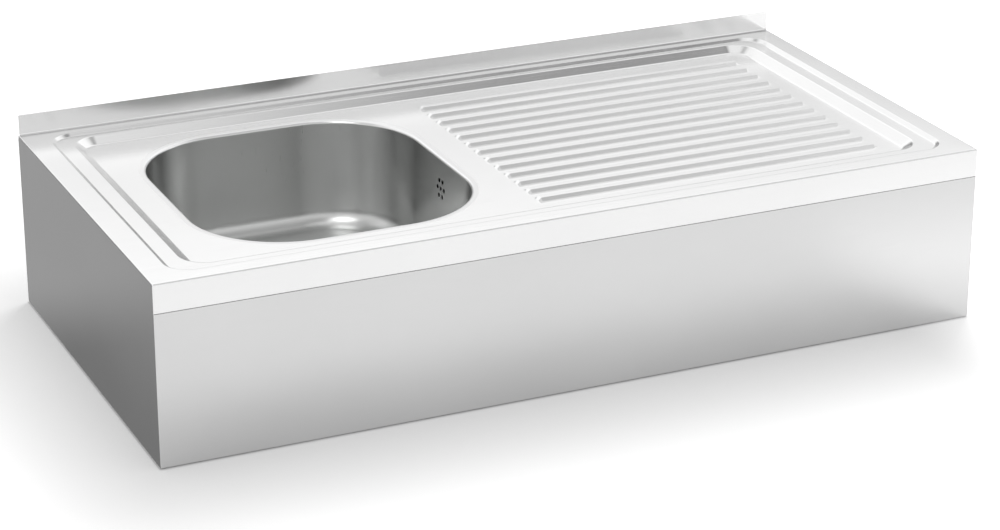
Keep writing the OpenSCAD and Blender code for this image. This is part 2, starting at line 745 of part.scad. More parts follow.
// Backing board and two hat rails under the drainer
module drainer_board() color(board_colour) difference() {
  block([board_x0, board_y0, board_under_z], [board_x1, board_y1, board_top_z]);
  rail_screw_spots()
    pin(0, 0, board_under_z - over, wood_screw_tip_z + screw_clear, wood_screw_r + screw_clear);
}
module rail_screw_spots() {
  for (x = rail_x, side = [-1, 1], y = rail_screw_y) translate([x + side * rail_screw_x, y, 0]) children();
}
module rail(x) {
  c = rail_crown_w / 2;
  f = c + rail_flange_w;
  t = sheet_t;
  low = rail_top_z - rail_h;
  difference() {
    along_y(board_y0, board_y1) translate([x, 0]) polygon(rounded(
      [[-f, rail_top_z], [-f, rail_top_z - t], [-c, rail_top_z - t], [-c, low], [c, low],
        [c, rail_top_z - t], [f, rail_top_z - t], [f, rail_top_z], [c - t, rail_top_z],
        [c - t, low + t], [-c + t, low + t], [-c + t, rail_top_z]],
      [0, 0, fold_r - t, fold_r, fold_r, fold_r - t, 0, 0, fold_r, fold_r - t, fold_r - t, fold_r]));
    rail_screw_spots() pin(0, 0, rail_top_z - t - over, rail_top_z + over, wood_screw_r + seat_gap);
  }
}
module left_rail() color(steel_colour) rail(rail_x[0]);
module right_rail() color(steel_colour) rail(rail_x[1]);
module rail_screws() color(zinc_colour) {
  head_top = rail_top_z - sheet_t - weld_gap;
  rail_screw_spots() {
    pin(0, 0, head_top - wood_screw_head_h, head_top, wood_screw_head_r);
    pin(0, 0, head_top - wood_screw_head_h / 2, wood_screw_tip_z, wood_screw_r);
  }
}

// Sound-deadening pads on the bowl's front and back walls
module sound_pads() color(rubber_colour) {
  for (side = [-1, 1])
    translate([bowl_mid[0], bowl_mid[1] + side * (bowl_d / 2 - wall_out(pad_z) + lap), pad_z])
      rotate([-side * bowl_draft, 0, 0])
        block([-pad_w / 2, min(0, side * pad_t), -pad_h / 2], [pad_w / 2, max(0, side * pad_t), pad_h / 2]);
}

// Overflow: gasket, moulded housing, welded studs and nuts on the outside of the right wall
module overflow_gasket() color(rubber_colour) on_wall() difference() {
  block([lap, -housing_w / 2, -housing_h / 2], [lap + overflow_t, housing_w / 2, housing_h / 2]);
  block([-over, -gasket_inner_w / 2, -gasket_inner_h / 2],
    [lap + overflow_t + over, gasket_inner_w / 2, gasket_inner_h / 2]);
}
module overflow_housing() color(plastic_colour) on_wall() difference() {
  union() {
    block([housing_x, -housing_w / 2, -housing_h / 2],
      [housing_x + housing_out, housing_w / 2, housing_h / 2]);
    block([housing_x, -housing_ear_w / 2, -housing_ear_h / 2],
      [housing_x + housing_flange_t, housing_ear_w / 2, housing_ear_h / 2]);
    pin(hose_x, 0, -housing_h / 2 - spigot_len, 0, spigot_r);
  }
  block([housing_x - over, -gasket_inner_w / 2, -gasket_inner_h / 2],
    [housing_x + housing_out - housing_wall, gasket_inner_w / 2, gasket_inner_h / 2]);
  pin(hose_x, 0, -housing_h / 2 - spigot_len - over, 0, spigot_bore_r);
  for (side = [-1, 1])
    across(side * stud_y, 0, housing_x - over, housing_x + housing_flange_t + over, stud_hole_r);
}
module overflow_studs() color(zinc_colour) on_wall() for (side = [-1, 1]) {
  across(side * stud_y, 0, lap, lap + stud_pad_h, stud_pad_r);
  across(side * stud_y, 0, lap + stud_pad_h / 2, stud_len, stud_r);
}
module overflow_nuts() color(zinc_colour) on_wall() for (side = [-1, 1]) {
  x0 = housing_x + housing_flange_t + lap;
  difference() {
    translate([x0, side * stud_y, 0]) rotate([0, 90, 0]) cylinder(h = m5_nut_h, r = m5_head_r, $fn = 6);
    across(side * stud_y, 0, x0 - over, x0 + m5_nut_h + over, stud_r + screw_clear);
  }
}

// A point on the hose's middle line and its sideways direction, by distance along it
function hose_at(s) =
  s < hose_drop_len ? hose_start + hose_down * s
  : s < hose_drop_len + hose_arc_len
    ? hose_centre + hose_bend_r * turn_at((s - hose_drop_len) / hose_arc_len)
    : [hose_centre[0] - (s - hose_drop_len - hose_arc_len), inlet_z];
function turn_at(u) = let (a = -bowl_draft - hose_turn * u) [cos(a), sin(a)];
function hose_side(s) =
  turn_at(min(1, max(0, (s - hose_drop_len) / hose_arc_len)));
function hose_ring(s, r) =
  let (p = hose_at(s), n = hose_side(s))
  [for (i = [0:hose_sides - 1])
    let (a = 360 * (i + 0.5) / hose_sides)
    [p[0] + r * cos(a) * n[0], overflow_y + r * sin(a), p[1] + r * cos(a) * n[1]]];

// Distances and radii along the hose's outside, and along its bore
function hose_outside() =
  let (rib0 = (hose_len - hose_ribs * hose_rib_pitch) / 2)
  concat([[0, hose_r]],
    [for (i = [0:hose_ribs - 1])
      each [[rib0 + i * hose_rib_pitch + hose_rib_pitch / 4, hose_r],
        [rib0 + i * hose_rib_pitch + hose_rib_pitch * 3 / 4, hose_r + hose_rib_h]]],
    [[rib0 + (hose_ribs + 1 / 4) * hose_rib_pitch, hose_r], [hose_len, hose_r]]);
function hose_bore() =
  [for (s = concat([0], [for (i = [0:corner_steps]) hose_drop_len + hose_arc_len * i / corner_steps],
    [hose_len])) [s, hose_bore_r]];
module overflow_hose() color(plastic_colour) {
  outside = hose_outside();
  bore = hose_bore();
  rings = concat([for (p = outside) hose_ring(p[0], p[1])],
    [for (i = [len(bore) - 1:-1:0]) hose_ring(bore[i][0], bore[i][1])]);
  n = hose_sides;
  k = len(rings);
  polyhedron(
    points = [for (r = rings) each r],
    faces = [for (j = [0:k - 1], i = [0:n - 1])
      [j * n + i, j * n + (i + 1) % n, ((j + 1) % k) * n + (i + 1) % n, ((j + 1) % k) * n + i]]);
}

// Band clips on the hose's two cuffs, each with a screw lug
module hose_clip() {
  difference() {
    union() {
      cylinder(h = clip_w, r = hose_r + lap + clip_t);
      block([hose_r, -clip_lug_w / 2, 0], [hose_r + lap + clip_t + clip_lug_h, clip_lug_w / 2, clip_w]);
    }
    pin(0, 0, -over, clip_w + over, hose_r + lap);
    across(0, clip_w / 2, hose_r + lap + clip_t + clip_lug_h / 3, hose_r + 2 * clip_lug_h, slot_w);
  }
}
module upper_hose_clip() color(zinc_colour)
  on_wall() translate([hose_x, 0, -housing_h / 2 - hose_shoulder - clip_at - clip_w / 2]) hose_clip();
module lower_hose_clip() color(zinc_colour)
  translate([hose_end_x + clip_at - clip_w / 2, overflow_y, inlet_z]) rotate([0, 90, 0])
    rotate([0, 0, 180]) hose_clip();

// Waste: a steel cup clamped through the bowl's floor to a moulded body
module waste_flange() color(polished_colour) at_drain() difference() {
  rotate_extrude($fn = 96) polygon([
    [waste_flange_r, flange_under_z], [waste_flange_r, dish_z], [cup_r + mouth_flare, dish_z],
    [cup_r, dish_z - mouth_flare], [cup_r, seat_top_z], [sump_r, seat_low_z], [sump_r, sump_z],
    [0, sump_z], [0, sump_z - cup_t], [sump_r + cup_t, sump_z - cup_t],
    [sump_r + cup_t, seat_low_z - cup_t / 2], [cup_r + cup_t, seat_top_z - cup_t / 2],
    [cup_r + cup_t, flange_under_z]]);
  pin(0, 0, sump_z - cup_t - over, sump_z + over, screw_hole_r);
  for (i = [1:sump_holes]) rotate([0, 0, 360 * i / sump_holes])
    pin(sump_hole_ring, 0, sump_z - cup_t - over, sump_z + over, sump_hole_r);
}
module washer(r0, r1, z0, z1) {
  difference() {
    pin(0, 0, z0, z1, r1);
    pin(0, 0, z0 - over, z1 + over, r0);
  }
}
module flange_gasket() color(rubber_colour) at_drain() {
  z0 = recess_z + weld_gap;
  washer(drain_r + weld_gap, waste_flange_r - gasket_lip, z0, z0 + gasket_t);
}
module body_gasket() color(rubber_colour) at_drain() {
  z1 = recess_under_z - lap;
  washer(body_bore_r, collar_r - gasket_lip, z1 - body_gasket_t, z1);
}
module waste_body() color(plastic_colour) at_drain() difference() {
  union() {
    difference() {
      union() {
        rotate_extrude($fn = 96) polygon([
          [0, collar_z], [collar_r, collar_z], [collar_r, collar_z - collar_t],
          [body_bore_r + body_wall, collar_z - collar_t], [body_bore_r + body_wall, funnel_z],
          [outlet_r, outlet_top_z], [outlet_r, outlet_z], [0, outlet_z]]);
        across(overflow_y - drain[1], inlet_z, body_bore_r, inlet_tip, spigot_r);
      }
      rotate_extrude($fn = 96) polygon([
        [0, collar_z + over], [body_bore_r, collar_z + over], [body_bore_r, funnel_z],
        [outlet_bore_r, outlet_top_z], [outlet_bore_r, outlet_z - over], [0, outlet_z - over]]);
      across(overflow_y - drain[1], inlet_z, 0, inlet_tip + over, spigot_bore_r);
    }
    web_reach = body_bore_r + body_wall / 2;
    for (a = [0, 90]) rotate([0, 0, a])
      block([-web_reach, -web_w / 2, funnel_z], [web_reach, web_w / 2, web_top_z]);
    pin(0, 0, boss_top_z - boss_h, boss_top_z, boss_r);
  }
  pin(0, 0, boss_top_z - boss_h - over, boss_top_z + over, insert_r + screw_clear);
}
module waste_insert() color(brass_colour) at_drain()
  washer(screw_bore_r, insert_r, boss_top_z - boss_h, boss_top_z);
module waste_screw() color(zinc_colour) at_drain() difference() {
  union() {
    pin(0, 0, sump_z + weld_gap, sump_z + weld_gap + screw_head_h, screw_head_r);
    pin(0, 0, boss_top_z - boss_h, sump_z + screw_head_h / 2, screw_r);
  }
  block([-screw_head_r - over, -slot_w / 2, sump_z + screw_head_h / 2],
    [screw_head_r + over, slot_w / 2, sump_z + screw_head_h + over]);
}

// Lift-out strainer basket, and the plug that slides in its bush
module strainer_basket() color(polished_colour) at_drain() {
  r0 = cup_r - basket_side_gap;
  difference() {
    rotate_extrude($fn = 96) polygon([
      [basket_rim_r - basket_rim_t, basket_top_z - basket_rim_t], [basket_rim_r, basket_top_z],
      [r0 - basket_t, basket_top_z],
      [r0 - basket_t, basket_floor_z + basket_t], [bush_r, basket_floor_z + basket_t],
      [bush_r, basket_floor_z + basket_t + bush_h], [0, basket_floor_z + basket_t + bush_h],
      [0, basket_floor_z - bush_h], [bush_r, basket_floor_z - bush_h], [bush_r, basket_floor_z],
      [r0, basket_floor_z], [r0, basket_top_z - basket_rim_t]]);
    pin(0, 0, basket_floor_z - bush_h - over, basket_top_z + over, stem_r + stem_play);
    for (k = [0:len(basket_rings) - 1]) {
      holes = basket_first_ring * basket_ring_shares[k];
      for (i = [1:holes]) rotate([0, 0, 360 * i / holes])
        pin(basket_rings[k], 0, basket_floor_z - over, basket_floor_z + basket_t + over, basket_hole_r);
    }
  }
}
module plug_stem() color(polished_colour) at_drain()
  pin(0, 0, stem_low_z, knob_z + knob_bore_h - lap, stem_r);
module plug_knob() color(polished_colour) at_drain() difference() {
  rotate_extrude($fn = 64) polygon(concat([[0, knob_z]],
    [for (s = knob_shares) [knob_r * s[0], knob_z + knob_h * s[1]]], [[0, knob_z + knob_h]]));
  pin(0, 0, knob_z - over, knob_z + knob_bore_h, stem_r + weld_gap);
}
module plug_seal() color(rubber_colour) at_drain() difference() {
  low_r = sump_r + seat_run * seal_lift / seat_h - seal_side_gap;
  high_r = low_r + seat_run * seal_h / seat_h;
  rotate_extrude($fn = 96) polygon([
    [0, seal_z], [low_r, seal_z], [high_r, seal_z + seal_h], [0, seal_z + seal_h]]);
  pin(0, 0, seal_z - over, seal_z + seal_h + over, stem_r + weld_gap);
}
module seal_nut() color(zinc_colour) at_drain() difference() {
  hexagon(0, 0, seal_z - lap - nut_h, seal_z - lap, nut_r);
  pin(0, 0, seal_z - lap - nut_h - over, seal_z + over, stem_r + weld_gap);
}

// Earth tab on the inside of the rear panel, with its bolt and nut
module earth_tab() color(zinc_colour) difference() {
  y1 = y_back - sheet_t - lap;
  along_x(tab_x - tab_w / 2, tab_x + tab_w / 2) polygon(rounded(
    [[y1, tab_z], [y1, tab_z + tab_leg], [y1 - tab_t, tab_z + tab_leg], [y1 - tab_t, tab_z + tab_t],
      [y1 - tab_leg, tab_z + tab_t], [y1 - tab_leg, tab_z]],
    [tab_t * 2, 0, 0, tab_t, 0, 0]));
  pin(tab_x, earth_y(), tab_z - over, tab_z + tab_t + over, m6_hole_r);
}
function earth_y() = y_back - sheet_t - tab_t - tab_leg / 2;
module earth_bolt() color(zinc_colour) {
  z0 = tab_z - lap;
  hexagon(tab_x, earth_y(), z0 - m6_head_h, z0, m6_head_r);
  pin(tab_x, earth_y(), z0 - m6_head_h / 2, tab_z + tab_t + m6_nut_h + m6_tail, m6_r);
}
module earth_nut() color(brass_colour) {
  z0 = tab_z + tab_t + lap;
  difference() {
    hexagon(tab_x, earth_y(), z0, z0 + m6_nut_h, m6_head_r);
    pin(tab_x, earth_y(), z0 - over, z0 + m6_nut_h + over, m6_r + screw_clear);
  }
}

worktop();
bowl();
front_apron();
left_side_panel();
right_side_panel();
rear_panel();
corner_plates();
corner_rivets();
seam_screws();
seam_nuts();
drainer_board();
left_rail();
right_rail();
rail_screws();
sound_pads();
overflow_gasket();
overflow_housing();
overflow_studs();
overflow_nuts();
overflow_hose();
upper_hose_clip();
lower_hose_clip();
waste_flange();
flange_gasket();
body_gasket();
waste_body();
waste_insert();
waste_screw();
strainer_basket();
plug_stem();
plug_knob();
plug_seal();
seal_nut();
earth_tab();
earth_bolt();
earth_nut();
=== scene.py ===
"""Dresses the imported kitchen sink: pressed worktop, bowl, skirt, hose, finishes and studio."""

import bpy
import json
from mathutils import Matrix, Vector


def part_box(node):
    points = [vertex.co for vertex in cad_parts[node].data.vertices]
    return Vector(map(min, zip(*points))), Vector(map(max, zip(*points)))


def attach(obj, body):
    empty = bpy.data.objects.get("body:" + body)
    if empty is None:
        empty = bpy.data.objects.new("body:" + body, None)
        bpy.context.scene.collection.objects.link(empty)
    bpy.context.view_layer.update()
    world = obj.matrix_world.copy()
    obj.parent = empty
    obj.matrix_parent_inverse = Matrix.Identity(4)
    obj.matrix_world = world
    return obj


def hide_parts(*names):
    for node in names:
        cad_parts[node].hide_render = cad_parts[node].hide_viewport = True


bl_info = {
    "name": "Kitchen Sink with Drainer",
    "version": (1, 0, 0),
    "blender": (4, 5, 0),
    "location": "3D Viewport > Sidebar > Sink",
    "description": "Builds the sheets, the bowl, the hose, the finishes and the studio round the packed sink",
    "category": "Object",
}

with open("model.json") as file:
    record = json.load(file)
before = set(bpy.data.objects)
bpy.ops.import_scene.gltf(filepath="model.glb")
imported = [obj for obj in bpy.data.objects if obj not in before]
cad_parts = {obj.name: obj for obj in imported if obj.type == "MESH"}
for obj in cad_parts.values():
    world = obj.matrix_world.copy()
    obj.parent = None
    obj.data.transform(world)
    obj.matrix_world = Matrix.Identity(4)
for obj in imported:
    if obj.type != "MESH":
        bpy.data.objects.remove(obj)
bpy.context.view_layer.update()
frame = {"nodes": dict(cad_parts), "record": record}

import json
import math

import bmesh
import bpy
import numpy as np
from bpy.props import FloatProperty, FloatVectorProperty, IntProperty, PointerProperty
from mathutils import Matrix, Vector

MM = 0.001
SHEET = [np.array(corner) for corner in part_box("worktop")]
LIP = [np.array(corner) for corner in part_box("bowl")]
APRON_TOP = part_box("front_apron")[1].z
UPSTAND_H = 30 * MM
BORDER_Z = SHEET[1][2] - UPSTAND_H
DECK_Z = LIP[1][2]


# Sizes and colours that a user would change


def length(name, description, size):
    """A size, given in millimetres and kept in metres."""
    return FloatProperty(name=name, description=description, default=size * MM, min=0.0, max=1.0,
                         unit="LENGTH", precision=4)


def four_lengths(name, description, sizes):
    """Sizes on the left, right, front and back, given in millimetres and kept in metres."""
    return FloatVectorProperty(name=name, description=description + " on the left, right, front and back",
                               default=[size * MM for size in sizes], size=4, unit="LENGTH")


def colour(what, default):
    """The colour of a finish, red, green and blue."""
    return FloatVectorProperty(name=what.capitalize(), description="Colour of the " + what, default=default,
                               subtype="COLOR", size=3, min=0.0, max=1.0)


def share(name, description, default, high=1.0):
    """A plain share or strength."""
    return FloatProperty(name=name, description=description, default=default, min=0.0, max=high,
                         subtype="FACTOR" if high <= 1.0 else "NONE")


class SinkWorktopSizes(bpy.types.PropertyGroup):
    sheet_t: length("Sheet", "Thickness of the sheet", 1.2)
    fold_r: length("Fold radius", "Outside radius of the folded edges", 2.0)
    seam_r: length("Seam radius", "Outside radius of the folds along the open seam", 0.7)
    foot_r: length("Upstand hollow", "Radius of the hollow at the upstand's foot", 3.0)
    return_d: length("Returns", "Depth of the turned-in returns", 20.0)
    border: four_lengths("Flat border", "Width of the flat border", (35.0, 30.5, 27.5, 19.0))
    ledge: four_lengths("Ledge", "Width of the ledge between the steps", (23.7, 21.5, 18.8, 8.0))
    step1_drop: length("Outer step's drop", "Height of the outer step", 4.2)
    step1_w: length("Outer step's slope", "Width of the outer step's slope", 5.0)
    step1_r: length("Outer step's corners", "Corner radius at the outer step's top", 35.0)
    step1_top_r: length("Outer step's upper rounding", "Rounding at the outer step's top", 2.6)
    step1_low_r: length("Outer step's lower rounding", "Rounding at the outer step's foot", 3.2)
    step2_w: length("Inner step's slope", "Width of the inner step's slope", 14.0)
    step2_r: length("Inner step's corners", "Corner radius at the inner step's top", 38.0)
    step2_top_r: length("Inner step's upper rounding", "Rounding at the inner step's top", 4.5)
    step2_low_r: length("Inner step's lower rounding", "Rounding at the inner step's foot", 7.0)
    deck_margin: length("Deck margin", "Flat margin between the inner step and the drainer's field", 10.0)


class SinkDrainerSizes(bpy.types.PropertyGroup):
    field_gap: length("Field gap", "From the bowl's edge to the drainer's field", 17.0)
    left_gap: length("Gap to the bowl", "From the bowl's wall to the ribs' left ends", 54.0)
    right_gap: length("Gap on the right", "From the ribs' right ends to the deck's edge", 32.0)
    front_gap: length("Gap at the front", "From the deck's front edge to the first rib", 30.84)
    pitch: length("Pitch", "From one rib to the next", 33.66)
    count: IntProperty(name="Ribs", description="Number of ribs", default=13, min=1, max=24)
    width: length("Rib width", "Width of a rib at its foot", 16.6)
    height: length("Rib height", "Height of a rib", 4.0)
    side_w: length("Rib side", "Width of a rib's sloping side", 4.2)
    top_r: length("Upper rounding", "Rounding along a rib's top edge", 0.45)
    foot_r: length("Lower rounding", "Rounding along a rib's foot", 0.5)


class SinkBowlSizes(bpy.types.PropertyGroup):
    sheet_t: length("Sheet", "Thickness of the bowl", 1.0)
    lip: length("Lip", "Flat lip beyond the edge's rounding", 6.0)
    edge_r: length("Edge rounding", "Rounding of the bowl's top edge", 4.0)
    corner_r: length("Corner radius", "Corner radius of the bowl", 132.0)
    depth: length("Depth", "From the deck to the foot of the walls", 156.0)
    floor_r: length("Floor rounding", "Rounding between walls and floor", 24.0)
    draft: FloatProperty(name="Draft", description="Lean of the walls", default=math.radians(1.8),
                         min=0.0, max=0.2, unit="ROTATION")
    fall: length("Fall", "Fall of the dished floor", 4.0)
    dish_r: length("Dish", "Radius of the dished floor", 130.0)
    recess_r: length("Recess", "Radius of the waste's recess", 58.0)
    recess_h: length("Recess depth", "Depth of the waste's recess", 3.0)
    drain_r: length("Drain hole", "Radius of the drain hole", 45.0)
    hole_r: length("Overflow hole", "Radius of an overflow hole", 3.3)
    hole_pitch: length("Overflow pitch", "From one overflow hole to the next in a row", 11.0)
    hole_row: length("Overflow rows", "From one row of overflow holes to the next", 10.9)
    hole_drop: length("Overflow drop", "Middle of the overflow holes below the deck", 43.6)
    hole_offset: length("Overflow offset", "Middle of the overflow holes in front of the bowl's", 6.5)


class SinkHoseSizes(bpy.types.PropertyGroup):
    outer_r: length("Radius", "Outside radius between the ribs", 11.85)
    bore_r: length("Bore", "Radius of the bore", 10.45)
    rib_h: length("Rib height", "Height of a rib", 1.5)
    rib_pitch: length("Rib pitch", "From one rib to the next", 4.2)
    bend_r: length("Bend radius", "Radius of the bend's middle line", 45.0)
    cuff: length("Cuff", "Length of the smooth cuff at each end", 23.7)


class SinkFinishes(bpy.types.PropertyGroup):
    worktop: colour("worktop's steel", (0.80, 0.80, 0.80))
    panel: colour("skirt's steel", (0.63, 0.63, 0.63))
    # Set darker than the worktop's steel, though it is the same steel: painted shade inside the deep bowl
    bowl: colour("bowl's steel", (0.60, 0.605, 0.60))
    waste: colour("spun waste and basket", (0.72, 0.725, 0.73))
    polished: colour("polished knob and stem", (0.78, 0.785, 0.79))
    zinc: colour("plated fasteners", (0.62, 0.63, 0.63))
    galvanised: colour("galvanised rails and plates", (0.55, 0.57, 0.58))
    board: colour("pressed-wood board", (0.55, 0.42, 0.27))
    damping: colour("damping pads", (0.045, 0.045, 0.048))
    gasket: colour("rubber gaskets", (0.03, 0.03, 0.032))
    plastic: colour("moulded waste", (0.80, 0.80, 0.78))
    # Near black so that the overflow holes read dark: painted shade behind them
    overflow: colour("moulded overflow housing", (0.05, 0.05, 0.052))
    hose: colour("ribbed hose", (0.68, 0.69, 0.68))
    brass: colour("brass insert and nut", (0.72, 0.55, 0.26))
    sheet_roughness: share("Sheet roughness", "Roughness of the brushed sheets", 0.18)
    bowl_roughness: share("Bowl roughness", "Roughness of the bowl", 0.28)
    grain_lean: share("Grain", "How far light spreads across the brushing", 0.55)


class SinkStudio(bpy.types.PropertyGroup):
    world: share("World", "Strength of the world on matt surfaces", 0.62, 4.0)
    key: FloatProperty(name="Key lamp", description="Power of the soft key lamp", default=26.0, min=0.0,
                       unit="POWER")
    floor: colour("floor", (0.86, 0.86, 0.86))
    # The glow is lower beside the skirt than off it: painted shadow on the floor
    glow_near: share("Floor glow near", "Glow of the floor beside the skirt, to the camera", 0.23)
    glow_far: share("Floor glow far", "Glow of the floor a quarter of a metre off, to the camera", 0.50)
    lens: FloatProperty(name="Lens", description="Focal length on a 36 mm frame", default=106.345,
                        min=10.0, unit="CAMERA")


# Shapes as arrays of points

FOLD_STEPS = 5        # steps round a fold
RIB_STEPS = 3         # round a rib's edges
BOWL_STEPS = 9        # round the bowl's edge and foot
DISH_STEPS = 4        # round the edges in the bowl's floor
HALF_CORNER = 12      # round half of an outline's corner
QUARTER = np.linspace(0, math.pi / 2, FOLD_STEPS + 1)
INWARD = np.array([1, -1, 1, -1])    # the way in from the left, right, front and back


def box_sides(box):
    """A box's left, right, front and back."""
    return np.array([box[0][0], box[1][0], box[0][1], box[1][1]])


def filleted(points, radii, steps=FOLD_STEPS):
    """A polyline in a plane whose inner corners are rounded: a corner of radius r becomes an arc that
    touches both legs, with its middle on their bisector, r over the sine of half their angle away."""
    p = np.asarray(points, float)
    made = [p[:1]]
    for before, at, after, r in zip(p[:-2], p[1:-1], p[2:], radii):
        u, v = (q / np.linalg.norm(q) for q in (before - at, after - at))
        half = math.acos(np.clip(u @ v, -1, 1)) / 2
        middle = at + (u + v) / np.linalg.norm(u + v) * r / math.sin(half)
        start, end = (at + w * r / math.tan(half) - middle for w in (u, v))
        first = math.atan2(start[1], start[0])
        turn = (math.atan2(end[1], end[0]) - first + math.pi) % (2 * math.pi) - math.pi
        a = first + turn * np.linspace(0, 1, steps + 1)
        made.append(middle + r * np.stack((np.cos(a), np.sin(a)), 1))
    return np.concatenate(made + [p[-1:]])


def step_down(width, z0, z1, radii, steps=FOLD_STEPS):
    """A slope of a width from one level down to the next, rounded at its top and its foot."""
    return filleted([(-width, z0), (0, z0), (width, z1), (2 * width, z1)], radii, steps)[1:-1]


def grid_faces(rows, columns, closed=False):
    """Quads between neighbouring rows of a grid; closed joins its last column to its first."""
    i, j = np.meshgrid(np.arange(rows - 1), np.arange(columns - (not closed)), indexing="ij")
    k = (j + 1) % columns
    return np.stack((i * columns + j, i * columns + k, (i + 1) * columns + k, (i + 1) * columns + j),
                    -1).reshape(-1, 4)


def surface(points, closed=False, flip=False):
    """Points on a grid of two parameters, with the faces between them."""
    points = np.asarray(points, float)
    faces = grid_faces(points.shape[0], points.shape[1], closed)
    return points.reshape(-1, 3), faces[:, ::-1] if flip else faces


def joined(*surfaces):
    """Several surfaces as one list of points and one of faces."""
    counts = np.cumsum([0] + [len(points) for points, _ in surfaces])
    return (np.concatenate([points for points, _ in surfaces]),
            np.concatenate([faces + n for (_, faces), n in zip(surfaces, counts)]))


def extruded(profile, places, axis):
    """A profile in the plane square to an axis, carried straight along it through the places."""
    profile, places = np.asarray(profile, float), np.asarray(places, float)
    grid = np.empty((len(profile), len(places), 3))
    others = [k for k in range(3) if k != axis]
    grid[:, :, others[0]] = profile[:, :1]
    grid[:, :, others[1]] = profile[:, 1:]
    grid[:, :, axis] = places
    return grid


def corner(square):
    """A quarter of a unit outline from (1, 0) to (0, 1): an arc, or the square corner round it."""
    t = np.linspace(0, 1, 2 * HALF_CORNER + 1)
    if square:
        return np.minimum(1, 2 - 2 * t), np.minimum(1, 2 * t)
    return np.cos(t * math.pi / 2), np.sin(t * math.pi / 2)


def outline(centres, reach, z, sides=((), (), (), ()), square=False):
    """A level ring, from the front right corner anticlockwise. Its corners turn about the four corners
    of the box in centres, as far out as reach says on the left, right, front and back, and its right,
    back, left and front sides pass through the places given."""
    x0, x1, y0, y1 = centres
    left, right, front, back = reach
    a, b = corner(square)
    s = [np.asarray(side, float) for side in sides]
    xs = np.concatenate([x1 + right * b, np.full(len(s[0]), x1 + right), x1 + right * a, s[1],
                         x0 - left * b, np.full(len(s[2]), x0 - left), x0 - left * a, s[3]])
    ys = np.concatenate([y0 - front * a, s[0], y1 + back * b, np.full(len(s[1]), y1 + back),
                         y1 + back * a, s[2], y0 - front * b, np.full(len(s[3]), y0 - front)])
    return np.stack((xs, ys, np.full(len(xs), z)), 1)


# Meshes and their finish

DOUBLES = 2e-6        # points nearer than this become one
SHORTEST = 1e-7       # edges shorter than this are dissolved
DEBURR = 0.25 * MM    # rounding of a sheet's cut edges
DEBURR_FROM = 60      # degrees from which an edge is a cut one
SHARP_FROM = 40       # degrees from which an edge shades sharp
HOSE_SHARP_FROM = 50


def mesh_object(name, points, faces):
    """A mesh object at the origin from arrays of points and quads, with its doubles merged."""
    mesh = bpy.data.meshes.new(name)
    mesh.vertices.add(len(points))
    mesh.vertices.foreach_set("co", np.asarray(points, np.float32).ravel())
    mesh.loops.add(faces.size)
    mesh.loops.foreach_set("vertex_index", np.asarray(faces, np.int32).ravel())
    mesh.polygons.add(len(faces))
    mesh.polygons.foreach_set("loop_start", np.arange(0, faces.size, faces.shape[1], dtype=np.int32))
    mesh.update(calc_edges=True)
    work = bmesh.new()
    work.from_mesh(mesh)
    bmesh.ops.remove_doubles(work, verts=work.verts, dist=DOUBLES)
    bmesh.ops.dissolve_degenerate(work, dist=SHORTEST, edges=work.edges)
    work.to_mesh(mesh)
    work.free()
    mesh.polygons.foreach_set("use_smooth", np.ones(len(mesh.polygons), bool))
    made = bpy.data.objects.new(name, mesh)
    bpy.context.scene.collection.objects.link(made)
    return made


def modify(piece, name, kind, **settings):
    """Adds a modifier with its settings."""
    added = piece.modifiers.new(name, kind)
    for key, value in settings.items():
        setattr(added, key, value)


def apply_modifiers(piece):
    """Replaces a piece's mesh by its modified one."""
    bpy.context.view_layer.update()
    shaped = piece.evaluated_get(bpy.context.evaluated_depsgraph_get())
    mesh = bpy.data.meshes.new_from_object(shaped)
    piece.modifiers.clear()
    old, piece.data = piece.data, mesh
    mesh.name = piece.name
    bpy.data.meshes.remove(old)


def thicken(piece, thickness, edge=0):
    """Gives a sheet its thickness below its outer face, and may round its cut edges a little."""
    modify(piece, "Sheet", "SOLIDIFY", thickness=thickness, offset=-1, use_even_offset=True)
    if edge:
        modify(piece, "Deburred edges", "BEVEL", width=edge, segments=2, limit_method="ANGLE",
               angle_limit=math.radians(DEBURR_FROM), use_clamp_overlap=True)
    apply_modifiers(piece)


def dress(piece, slot, node, finish=None, sharp_from=SHARP_FROM):
    """Shades a piece smooth up to an angle, with its large faces setting the normals beside small roundings,
    gives it the material of its finish or else of its slot, hangs it on the root body and hides the node that
    it stands for."""
    piece.data.set_sharp_from_angle(angle=math.radians(sharp_from))
    modify(piece, "Even shading", "WEIGHTED_NORMAL", mode="FACE_AREA", weight=50, keep_sharp=True)
    piece.data.materials.clear()
    piece.data.materials.append(sink_materials()[finish or slot])
    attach(piece, "root")
    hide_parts(node)


def folded_sheet(name, surfaces, thickness, slot, node, finish=None):
    """Joins a sheet's surfaces, thickens them and dresses the sheet."""
    piece = mesh_object(name, *joined(*surfaces))
    thicken(piece, thickness, DEBURR)
    dress(piece, slot, node, finish)


# Materials

WIDE = (0.3, 0.7)        # nearly all of a noise's values
MIDDLE = (0.35, 0.65)    # most of a slow noise's values


